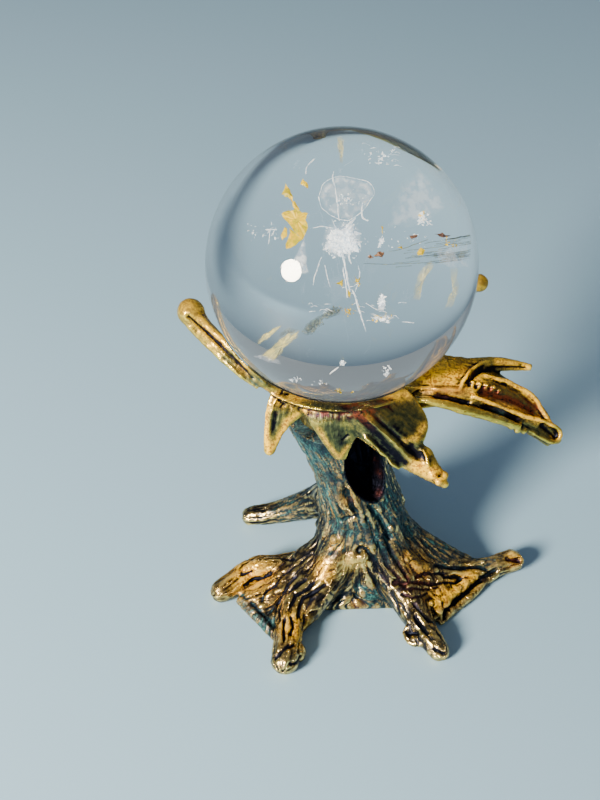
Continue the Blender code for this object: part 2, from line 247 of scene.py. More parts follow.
class NodeBoard(Graph):
    """Lays out the nodes of a material."""

    def __init__(self, name: str) -> None:
        """Start a material with its Principled shader."""
        self.material = bpy.data.materials.new(name)
        self.material.use_nodes = True
        super().__init__(self.material.node_tree)
        self.shader = self.tree.nodes["Principled BSDF"]

    def set(self, **values: Value) -> None:
        """Feed the shader, by socket name with underscores for spaces."""
        for name, value in values.items():
            self.feed(self.shader.inputs[name.replace("_", " ")], value)

    def attribute(self, name: str, out: str = "Fac") -> Socket:
        """Read a vertex attribute."""
        return self.add("ShaderNodeAttribute", {}, out, attribute_name=name)

    def grain(self, size: float, detail: float = 3.0, flow: Socket | None = None,
              roughness: float = 0.55) -> Socket:
        """Add a noise.

        Args:
            size: The size of its lumps in millimetres.
            detail: How many finer layers it has.
            flow: The place in millimetres that it reads; the place on the object when left out.
            roughness: How strong the finer layers are.

        Returns:
            The noise, from 0 to 1.
        """
        place = flow or self.add("ShaderNodeTexCoord", {}, "Object")
        scale = 1.0 / size if flow else 1.0 / (size * MM)
        return self.add("ShaderNodeTexNoise", {"Vector": place, "Scale": scale, "Detail": detail,
                                               "Roughness": roughness}, "Fac")

    def lean(self, value: Socket, amount: float) -> Socket:
        """Centre a noise on 0 and scale it."""
        return self.times(self.math("SUBTRACT", value, 0.5), amount)

    def mixed(self, *shares: tuple[Socket, float]) -> Socket:
        """Add two numbers up, each times its share."""
        return self.math("ADD", *(self.times(value, share) for value, share in shares))

    def span(self, value: Socket, low: float, high: float, start: float = 0.0, end: float = 1.0) -> Socket:
        """Stretch a range of a value to another range, clamped."""
        return self.add("ShaderNodeMapRange", {"Value": value, "From Min": low, "From Max": high,
                                               "To Min": start, "To Max": end},
                        interpolation_type="SMOOTHSTEP")

    def blend(self, amount: Socket, first: Socket | Colour, second: Socket | Colour) -> Socket:
        """Mix two colours."""
        return self.add("ShaderNodeMix", {0: amount, 6: first, 7: second}, 2, data_type="RGBA")

    def ramp(self, value: Socket, stops: Sequence[tuple[float, Colour]]) -> Socket:
        """Turn a value into a colour through stops."""
        node = self.node("ShaderNodeValToRGB", {"Fac": value})
        elements = node.color_ramp.elements
        for _ in range(len(stops) - 2):
            elements.new(0.5)
        for element, (position, colour) in zip(elements, stops):
            element.position = position
            element.color = (*colour, 1.0)
        return node.outputs["Color"]

    def bump(self, height: Socket, strength: float, distance: float, below: Socket | None = None) -> Socket:
        """Add a bump from a height, in millimetres, on top of another bump."""
        normal = {"Normal": below} if below else {}
        return self.add("ShaderNodeBump", {"Height": height, "Strength": strength, "Distance": distance * MM,
                                           **normal})


@dataclass(frozen=True)
class AntiqueMetal:
    """Antique plated casting: worn bright on its ridges, near black in its grooves, green in patches."""

    name: str
    worn: Colour
    bright: Colour
    body: Colour
    deep: Colour
    gilt: Colour = (0.95, 0.52, 0.0)
    gilt_grain: Colour = (0.31, 0.12, 0.005)
    patina: Colour = (0.002, 0.02, 0.036)
    patina_light: Colour = (0.05, 0.17, 0.165)
    blush: Colour = (0.30, 0.07, 0.025)
    mottle_size: float = 1.3
    speck_size: float = 0.44
    streak_size: float = 0.45
    mottling: float = 0.5
    streak: float = 1.1
    worn_edge: float = 0.05
    bright_edge: float = 0.21
    body_edge: float = 0.40
    groove_edge: float = 0.58
    gilt_depths: Span = (0.72, 0.40)
    gilt_grains: Span = (0.43, 0.52)
    blush_grains: Span = (0.40, 0.54)
    patina_sink: float = 0.35
    patina_depths: Span = (0.40, 0.64)
    patina_grains: Span = (0.50, 0.60)
    paint_metal: float = 0.12
    shine: Span = (0.17, 0.52)
    shine_depths: Span = (0.10, 0.85)
    shine_specks: float = 0.30
    patina_dull: float = 0.12
    pitting: float = 0.35
    pit_depth: float = 0.10
    relief: float = 0.8
    relief_depth: float = 0.2

    def material(self) -> Material:
        """Build the material.

        Returns:
            The material, which reads the casting's tones and its flow attributes.
        """
        board = NodeBoard(self.name)
        mottle = board.grain(self.mottle_size, 5.0)
        speck = board.grain(self.speck_size)
        streak = board.grain(self.streak_size, 2.0, board.attribute("flow", "Vector"), 0.6)
        uneven = board.math("ADD", board.lean(mottle, self.mottling), board.lean(streak, self.streak))
        depth = board.math("ADD", board.attribute(Tone.GROOVE_AND_SHADE.value), uneven, clamp=True)
        colour = board.ramp(depth, ((self.worn_edge, self.worn), (self.bright_edge, self.bright),
                                    (self.body_edge, self.body), (self.groove_edge, self.deep)))
        grainy = board.mixed((speck, 0.6), (mottle, 0.4))
        gilt = board.times(board.attribute(Tone.GILT.value), board.span(depth, *self.gilt_depths))
        leaf = board.blend(board.span(grainy, *self.gilt_grains), self.gilt_grain, self.gilt)
        colour = board.blend(gilt, colour, leaf)
        blush = board.times(board.attribute(Tone.BLUSH.value), board.span(grainy, *self.blush_grains))
        colour = board.blend(blush, colour, self.blush)
        sunk = board.math("ADD", mottle, board.times(depth, self.patina_sink))
        cover = board.times(board.attribute(Tone.PATINA.value), board.span(sunk, *self.patina_depths))
        light = board.span(board.mixed((speck, 0.4), (streak, 0.6)), *self.patina_grains)
        colour = board.blend(cover, colour, board.blend(light, self.patina, self.patina_light))
        paint = board.math("MAXIMUM", cover, gilt)
        rough = board.math("ADD", board.span(depth, *self.shine_depths, *self.shine),
                           board.lean(speck, self.shine_specks))
        rough = board.math("ADD", rough, board.times(cover, self.patina_dull), clamp=True)
        pits = board.bump(speck, self.pitting, self.pit_depth)
        board.set(Base_Color=colour, Metallic=board.span(paint, 0.0, 1.0, 1.0, self.paint_metal),
                  Roughness=rough, Specular_IOR_Level=0.2,
                  Normal=board.bump(streak, self.relief, self.relief_depth, pits))
        return board.material


@dataclass(frozen=True)
class Crystal:
    """Polished clear crystal, by plain values on the shader."""

    name: str = "clear_crystal"
    tint: Colour = (0.985, 0.995, 1.0)
    bend: float = 1.52

    def material(self) -> Material:
        """Build the material."""
        board = NodeBoard(self.name)
        board.set(Base_Color=self.tint, Roughness=0.0, IOR=self.bend, Transmission_Weight=1.0)
        return board.material


@dataclass(frozen=True)
class Sealed:
    """Finish of what is sealed in the crystal: a scattering film, flake or needle, with a painted glow that
    stands in for the light it would catch.
    """

    name: str
    light: Colour
    dark: Colour
    size: float
    painted_glow: float
    cover: Span | None = None
    roughness: float = 0.25
    fading: bool = False
    mottling: Span = (0.38, 0.60)

    def material(self) -> Material:
        """Build the material.

        Returns:
            The material, mottled between its two colours and covers, lit by a painted glow, and fading to its
            edge if asked.
        """
        board = NodeBoard(self.name)
        mottle = board.span(board.grain(self.size, 4.0), *self.mottling)
        colour = board.blend(mottle, self.dark, self.light)
        # The emission is painted glow: it lights the sealed pieces as if light reached them through the
        # crystal.
        board.set(Base_Color=colour, Emission_Color=colour, Emission_Strength=self.painted_glow,
                  Roughness=self.roughness)
        if self.cover:
            cover = board.span(mottle, 0.0, 1.0, *self.cover)
            board.set(Alpha=board.times(cover, board.attribute("fade")) if self.fading else cover)
        return board.material


TRUNK_METAL = AntiqueMetal("antique_bronze", worn=(1.0, 0.76, 0.26), bright=(0.60, 0.42, 0.15),
                           body=(0.050, 0.046, 0.044), deep=(0.007, 0.008, 0.016))
CRADLE_METAL = AntiqueMetal("antique_gold", worn=(1.0, 0.72, 0.10), bright=(0.50, 0.36, 0.07),
                            body=(0.085, 0.092, 0.042), deep=(0.007, 0.007, 0.012), pitting=0.3,
                            streak=0.45, relief=0.35, body_edge=0.48, groove_edge=0.66, shine=(0.18, 0.44))
# The glow numbers below are painted glow on the sealed pieces, not lamps.
FROST = Sealed("frost", (1.0, 0.98, 0.94), (0.40, 0.50, 0.58), 0.3, 1.0, roughness=0.15)
GOLD = Sealed("gold_flake", (0.90, 0.58, 0.0), (0.50, 0.38, 0.0), 0.9, 0.30)
BROWN = Sealed("brown_flake", (0.26, 0.12, 0.05), (0.10, 0.05, 0.04), 0.4, 0.15)
SMOKE = Sealed("smoke", (0.20, 0.22, 0.13), (0.03, 0.04, 0.03), 0.5, 0.1, (0.35, 0.9), 0.4)
WHITE_FILM = Sealed("white_film", (1.0, 1.0, 1.0), (0.72, 0.78, 0.92), 0.9, 0.8, (0.30, 0.80), fading=True)
GOLD_FILM = Sealed("pale_gold_film", (0.84, 0.70, 0.20), (0.62, 0.56, 0.18), 1.6, 0.42, (0.6, 0.9),
                   fading=True)
SMOKE_FILM = Sealed("smoke_film", (0.02, 0.035, 0.025), (0.12, 0.13, 0.08), 0.22, 0.0, (1.0, 0.6),
                    fading=True)


class PieceTree(Graph):
    """Geometry Nodes that make one kind of shape, with named inputs and a finish."""

    def __init__(self, name: str, **kinds: str) -> None:
        """Start the tree.

        Args:
            name: The tree's name.
            kinds: The kind of each input, by its name.
        """
        super().__init__(bpy.data.node_groups.new(name, "GeometryNodeTree"))
        new_socket = self.tree.interface.new_socket
        self.keys = {key: new_socket(name=key, in_out="INPUT", socket_type=f"NodeSocket{kind}").identifier
                     for key, kind in (kinds | {"Seed": "Int", "Finish": "Material"}).items()}
        new_socket(name="Geometry", in_out="OUTPUT", socket_type="NodeSocketGeometry")
        self.given = self.tree.nodes.new("NodeGroupInput").outputs

    def close(self, shape: Socket) -> None:
        """End the tree with the shape made real and finished."""
        real = self.add("GeometryNodeRealizeInstances", {"Geometry": shape})
        finished = self.add("GeometryNodeSetMaterial", {"Geometry": real, "Material": self.given["Finish"]})
        self.node("NodeGroupOutput", {"Geometry": finished})

    def run(self, guide: Mesh, **values: float | Place | Material) -> Mesh:
        """Run the tree on a guide mesh.

        Args:
            guide: The mesh, which is removed.
            values: What each input gets, by its name.

        Returns:
            The shape as a plain mesh.
        """
        carrier = new_carrier("guide", guide)
        runner = carrier.modifiers.new("shape", "NODES")
        runner.node_group = self.tree
        for key, value in values.items():
            runner[self.keys[key]] = value
        shape = finished_mesh(carrier)
        bpy.data.meshes.remove(guide)
        return shape


class SweepTree(PieceTree):
    """Geometry Nodes that sweep a round, slightly wandering bar along every row of points."""

    def __init__(self) -> None:
        """Build the tree."""
        super().__init__("sweep_along_rows", Geometry="Geometry", Step="Float", Sides="Int", Waver="Float",
                         Length="Float")
        given = self.given
        curve = self.add("GeometryNodeMeshToCurve", {"Mesh": given["Geometry"]})
        smooth = self.add("GeometryNodeCurveSplineType", {"Curve": curve}, spline_type="CATMULL_ROM")
        even = self.add("GeometryNodeResampleCurve", {"Curve": smooth, "Length": given["Step"]},
                        mode="LENGTH")
        lumps = self.add("ShaderNodeTexNoise", {
            "Vector": self.add("GeometryNodeInputPosition", {}), "W": given["Seed"],
            "Scale": self.math("DIVIDE", 1.0, given["Length"]), "Detail": 1.0}, "Color",
                         noise_dimensions="4D")
        centred = self.vector("SUBTRACT", {0: lumps, 1: (0.5, 0.5, 0.5)})
        shift = self.vector("SCALE", {0: centred, "Scale": given["Waver"]})
        wander = self.add("GeometryNodeSetPosition", {"Geometry": even, "Offset": shift})
        girth = self.add("GeometryNodeInputNamedAttribute", {"Name": "girth"}, "Attribute", data_type="FLOAT")
        ring = self.add("GeometryNodeCurvePrimitiveCircle", {"Resolution": given["Sides"], "Radius": 1.0})
        self.close(self.add("GeometryNodeCurveToMesh", {"Curve": wander, "Profile Curve": ring,
                                                        "Scale": girth, "Fill Caps": True}))

    def sweep(self, paths: Iterable[Rows], finish: Material, step: float = 0.8, sides: int = 10,
              waver: float = 0.0, length: float = 4.0, seed: int = 1) -> Mesh:
        """Sweep bars along paths.

        Args:
            paths: Rows of place and radius, in millimetres.
            finish: The material.
            step: The length of one ring to the next.
            sides: How many sides a bar has.
            waver: How far it wanders.
            length: How long one wander is.
            seed: The seed of the wander.

        Returns:
            The bars as one mesh.
        """
        rows, edges = [], []
        for path in paths:
            edges.extend((index, index + 1) for index in range(len(rows), len(rows) + len(path) - 1))
            rows.extend(path)
        guide = bpy.data.meshes.new("guide")
        guide.from_pydata([metres(row) for row in rows], edges, [])
        girth = guide.attributes.new("girth", "FLOAT", "POINT")
        girth.data.foreach_set("value", [row[3] * MM for row in rows])
        return self.run(guide, Step=step * MM, Sides=sides, Waver=waver * MM, Length=length * MM, Seed=seed,
                        Finish=finish)


class ScatterTree(PieceTree):
    """Geometry Nodes that scatter small thin shards through an egg-shaped cloud."""

    def __init__(self) -> None:
        """Build the tree."""
        super().__init__("scatter_shards", Count="Int", Reach="Vector", Shard="Float", Thin="Float")
        given = self.given
        heading = self.vector("NORMALIZE", {0: self.chance((-1.0,) * 3, (1.0,) * 3, 1)})
        away = self.math("POWER", self.chance(0.0, 1.0, 2), 0.6)
        inside = self.vector("SCALE", {0: heading, "Scale": away})
        spread = self.vector("MULTIPLY", {0: inside, 1: given["Reach"]})
        cloud = self.add("GeometryNodePoints", {"Count": given["Count"], "Position": spread})
        shard = self.add("GeometryNodeMeshCone", {"Vertices": 3, "Radius Top": 0.25, "Radius Bottom": 1.0,
                                                  "Depth": 2.0})
        size = self.times(self.chance(0.25, 1.0, 3), given["Shard"])
        scale = self.add("ShaderNodeCombineXYZ", {"X": size, "Y": self.times(size, given["Thin"]), "Z": size})
        turn = self.add("FunctionNodeEulerToRotation", {0: self.chance((0.0,) * 3, (math.tau,) * 3, 4)})
        self.close(self.add("GeometryNodeInstanceOnPoints", {"Points": cloud, "Instance": shard,
                                                             "Rotation": turn, "Scale": scale}))

    def chance(self, low: float | Place, high: float | Place, turn: int) -> Socket:
        """Add a random number or vector of its own turn."""
        whole = isinstance(low, tuple)
        first, out, kind = (0, 0, "FLOAT_VECTOR") if whole else (2, 1, "FLOAT")
        seed = self.math("ADD", self.given["Seed"], turn)
        return self.add("FunctionNodeRandomValue", {first: low, first + 1: high, "Seed": seed}, out,
                        data_type=kind)


class Form:
    """A casting in the making: overlapping closed parts that are fused into one skin."""

    def __init__(self, name: str) -> None:
        """Start with nothing."""
        self.name = name
        self.body = bmesh.new()
        self.cutters: list[Item] = []

    def add_mesh(self, mesh: Mesh) -> None:
        """Add a closed mesh and remove it."""
        self.body.from_mesh(mesh)
        bpy.data.meshes.remove(mesh)

    def add_knobs(self, rows: Iterable[Row]) -> None:
        """Add a round knob at each row."""
        for row in rows:
            bmesh.ops.create_icosphere(self.body, subdivisions=3, radius=row[3] * MM, matrix=at(row))

    def new_cutter(self, name: str, part: Part) -> Item:
        """Make a cutter from a part."""
        cutter = new_carrier(name, mesh_of(part, name, outward=True))
        self.cutters.append(cutter)
        return cutter

    def block(self, name: str, low: float, high: float, span: float = 300.0) -> Item:
        """Make a cutter that takes away everything between two heights."""
        part = bmesh.new()
        matrix = (Matrix.Translation((0.0, 0.0, (low + high) / 2 * MM))
                  @ Matrix.Diagonal((span * MM, span * MM, (high - low) * MM, 1.0)))
        bmesh.ops.create_cube(part, size=1.0, matrix=matrix)
        return self.new_cutter(name, part)

    def fused(self, voxel: float, carved: Sequence[Item], trimmed: Sequence[Item]) -> Mesh:
        """Fuse the parts into one skin.

        Args:
            voxel: The size of its faces in millimetres.
            carved: Cutters whose edges are rounded by a second fusing.
            trimmed: Cutters whose edges stay sharp.

        Returns:
            The skin as a mesh.
        """
        carrier = new_carrier(self.name, mesh_of(self.body, self.name))
        self.add_fuse(carrier, voxel)
        for cutter in carved:
            self.add_cut(carrier, cutter)
        if carved:
            self.add_fuse(carrier, voxel)
        for cutter in trimmed:
            self.add_cut(carrier, cutter)
        skin = finished_mesh(carrier)
        for cutter in self.cutters:
            bpy.data.objects.remove(cutter)
        return skin

    @staticmethod
    def add_fuse(carrier: Item, voxel: float) -> None:
        """Add the step that fuses overlapping parts."""
        fuse = carrier.modifiers.new("fuse", "REMESH")
        fuse.mode = "VOXEL"
        fuse.voxel_size = voxel * MM

    @staticmethod
    def add_cut(carrier: Item, cutter: Item) -> None:
        """Add the step that takes a cutter away."""
        cut = carrier.modifiers.new(cutter.name, "BOOLEAN")
        cut.operation = "DIFFERENCE"
        cut.solver = "MANIFOLD"
        cut.object = cutter


@dataclass(frozen=True)
class Bark:
    """Fine ridges: how high, how far apart and how much longer than wide, and where they end."""

    height: float
    size: float
    stretch: float
    top: float = math.inf
    crest: float = 0.75
    valley: float = 2.2
    fine: float = 0.4
    finer: float = 2.3


class Skin:
    """The skin of a casting, worked point by point: bark, crevices and colour tones."""

    edge_fade: float = 0.8

    def __init__(self, mesh: Mesh) -> None:
        """Read the mesh."""
        self.mesh = mesh
        self.count = len(mesh.vertices)
        self.places = np.empty(self.count * 3)
        mesh.vertices.foreach_get("co", self.places)
        self.places = self.places.reshape(-1, 3) / MM
        edges = np.empty(len(mesh.edges) * 2, dtype=int)
        mesh.edges.foreach_get("vertices", edges)
        self.edges = edges.reshape(-1, 2)
        self.tones: dict[Tone, Array] = {tone: np.zeros(self.count) for tone in Tone}

    def normals(self) -> Array:
        """Write the places back and read the directions that the skin faces."""
        self.mesh.vertices.foreach_set("co", (self.places * MM).ravel())
        self.mesh.update()
        facing = np.empty(self.count * 3)
        self.mesh.vertex_normals.foreach_get("vector", facing)
        return facing.reshape(-1, 3)

    def smoothed(self, values: Array, steps: int) -> Array:
        """Average values with their neighbours.

        Args:
            values: One row for each vertex.
            steps: How often.

        Returns:
            The averaged values.
        """
        start, end = self.edges.T
        share = np.bincount(start, minlength=self.count) + np.bincount(end, minlength=self.count)
        share = np.maximum(share, 1)[:, None]
        blurred = values.copy()
        for _ in range(steps):
            total = np.empty_like(blurred)
            for axis in range(blurred.shape[1]):
                total[:, axis] = (np.bincount(start, blurred[end, axis], self.count)
                                  + np.bincount(end, blurred[start, axis], self.count))
            blurred = 0.5 * blurred + 0.5 * total / share
        return blurred

    def raise_by(self, lift: Array, normals: Array, top: float = math.inf) -> None:
        """Move the skin outward, less and less towards the table and the top."""
        height = self.places[:, 2]
        fade = np.clip(height / self.edge_fade, 0.0, 1.0) * np.clip((top - height) / self.edge_fade, 0.0, 1.0)
        self.places += normals * (lift * fade)[:, None]

    def carve(self, marks: Sequence[Mark], facing: Place | None = None) -> None:
        """Work crevices into the skin.

        Args:
            marks: The crevices.
            facing: The side that they are worked from, where the sheet is thin.
        """
        turned_gain, turned_enough = 2.0, 0.2
        normals = self.normals()
        towards = np.ones(self.count)
        if facing:
            side = np.array(facing) / np.linalg.norm(facing)
            towards = np.clip(normals @ side * turned_gain, 0.0, 1.0)
        shift = np.zeros(self.count)
        dark = self.tones[Tone.GROOVE_AND_SHADE]
        shown = self.places[towards > turned_enough]

        def on_skin(place: Place) -> Array:
            """Move a place to the nearest point of the skin."""
            return shown[np.argmin(((shown - np.array(place)) ** 2).sum(1))]

        for mark in marks:
            start = on_skin(mark.start)
            axis = on_skin(mark.end) - start
            share = np.clip((self.places - start) @ axis / max(axis @ axis, 1e-9), 0.0, 1.0)
            away = np.linalg.norm(self.places - start - share[:, None] * axis, axis=1) / mark.reach
            np.maximum(shift, mark.depth * (np.exp(-away ** 2) * towards), out=shift)
            np.maximum(dark, mark.dark * np.exp(-away ** 3) * towards, out=dark)
        self.places -= normals * shift[:, None]

    def grow_bark(self, paths: Sequence[Rows], bark: Bark) -> None:
        """Work fine ridges that flow along the nearest path, and keep the flow for the finish.

        Args:
            paths: The paths that the ridges follow.
            bark: The ridges.
        """
        samples_a_span, look, between_paths = 10, 0.01, 3.7
        samples: list[tuple[Vector, Vector, float, int]] = []
        for number, rows in enumerate(paths):
            steps = samples_a_span * (len(rows) - 1)
            run, last = 0.0, None
            for step in range(steps + 1):
                here = Vector(along(rows, step / steps)[:3])
                ahead = Vector(along(rows, min(step / steps + look, 1.0))[:3])
                behind = Vector(along(rows, max(step / steps - look, 0.0))[:3])
                run += (here - last).length if last else 0.0
                last = here
                samples.append((here, (ahead - behind).normalized(), run, number))
        finder = KDTree(len(samples))
        for index, sample in enumerate(samples):
            finder.insert(sample[0], index)
        finder.balance()
        normals = self.normals()
        lift = np.zeros(self.count)
        flow = np.zeros((self.count, 3))
        for index, place in enumerate(self.places):
            spot = Vector(place)
            here, heading, run, number = samples[finder.find(spot)[1]]
            off = spot - here
            ahead = off.dot(heading)
            side = off - heading * ahead
            across = heading.cross(Vector(normals[index])).normalized().dot(side)
            grain = (across, (run + ahead) / bark.stretch, number * between_paths)
            flow[index] = grain
            ridge = noise.noise(Vector(grain) / bark.size)
            fine = noise.noise(Vector(grain) * bark.finer / bark.size)
            lift[index] = (bark.crest - bark.valley * abs(ridge)) + bark.fine * fine
        self.raise_by(lift * bark.height, normals, bark.top)
        layer = self.mesh.attributes.new("flow", "FLOAT_VECTOR", "POINT")
        layer.data.foreach_set("vector", flow.ravel())

    def roughen(self, height: float, size: float) -> None:
        """Work a cast unevenness into the skin."""
        lift = np.array([noise.fractal(Vector(place) / size, 0.6, 2.0, 3) for place in self.places])
        self.raise_by(lift * height, self.normals())

    def read_grooves(self, fine: float, broad: float) -> None:
        """Work out how deep each point lies between its neighbours.

        Args:
            fine: The depth that counts as a full groove over a short way.
            broad: The depth that counts as a full groove over a longer way.
        """
        near_steps, far_steps, level, share = 5, 36, 0.46, 0.5
        normals = self.normals()
        near, far = self.smoothed(self.places, near_steps), self.smoothed(self.places, far_steps)
        sunk_near = ((near - self.places) * normals).sum(1) / fine
        sunk_far = ((far - self.places) * normals).sum(1) / broad
        sunk = np.clip(level + share * sunk_near + share * sunk_far, 0.0, 1.0)
        self.tones[Tone.GROOVE_AND_SHADE] = np.maximum(sunk, self.tones[Tone.GROOVE_AND_SHADE])

    def tint(self, tone: Tone, bands: Iterable[Band]) -> None:
        """Lay soft bands of a tone.

        Args:
            tone: The tone.
            bands: Reach, strength and places of each; a negative strength takes the tone away.
        """
        layer = self.tones[tone]
        for reach, strength, places in bands:
            run = [Vector(place) for place in places]
            spots = [run[-1]]
            for start, end in zip(run, run[1:]):
                count = math.ceil((end - start).length / reach)
                spots.extend(start.lerp(end, step / count) for step in range(count))
            for spot in spots:
                away = np.linalg.norm(self.places - np.array(spot), axis=1)
                weight = np.exp(-(away / reach) ** 2) * abs(strength)
                if strength < 0:
                    layer *= 1.0 - weight
                else:
                    np.maximum(layer, weight, out=layer)

    def keep_between(self, low: float, high: float = math.inf) -> None:
        """Keep every point between two heights."""
        self.places[:, 2] = np.clip(self.places[:, 2], low, high)

    def keep_outside(self, middle: Place, radius: float) -> None:
        """Keep every point outside a ball."""
        off = self.places - np.array(middle)
        away = np.linalg.norm(off, axis=1)
        near = away < radius
        self.places[near] = np.array(middle) + off[near] / away[near, None] * radius

    def finished(self, name: str, finish: Material) -> Item:
        """Write places and tones to the mesh.

        Args:
            name: The piece's name.
            finish: The material.

        Returns:
            The piece.
        """
        self.normals()
        for tone, values in self.tones.items():
            layer = self.mesh.attributes.new(tone.value, "FLOAT", "POINT")
            layer.data.foreach_set("value", np.clip(values, 0.0, 1.0))
        self.mesh.shade_smooth()
        self.mesh.materials.clear()
        self.mesh.materials.append(finish)
        self.mesh.name = name
        return new_carrier(name, self.mesh)



@dataclass(frozen=True)
class Root:
    """One root: its bearing on the trunk and its run of places and radii out to the tip."""

    bearing: float
    run: tuple[Row, ...]


@dataclass(frozen=True)
class Web:
    """A bark sheet between two roots, by the two ends of its edge on the table."""

    first: Span
    last: Span
    strands: int
    fine_strands: int


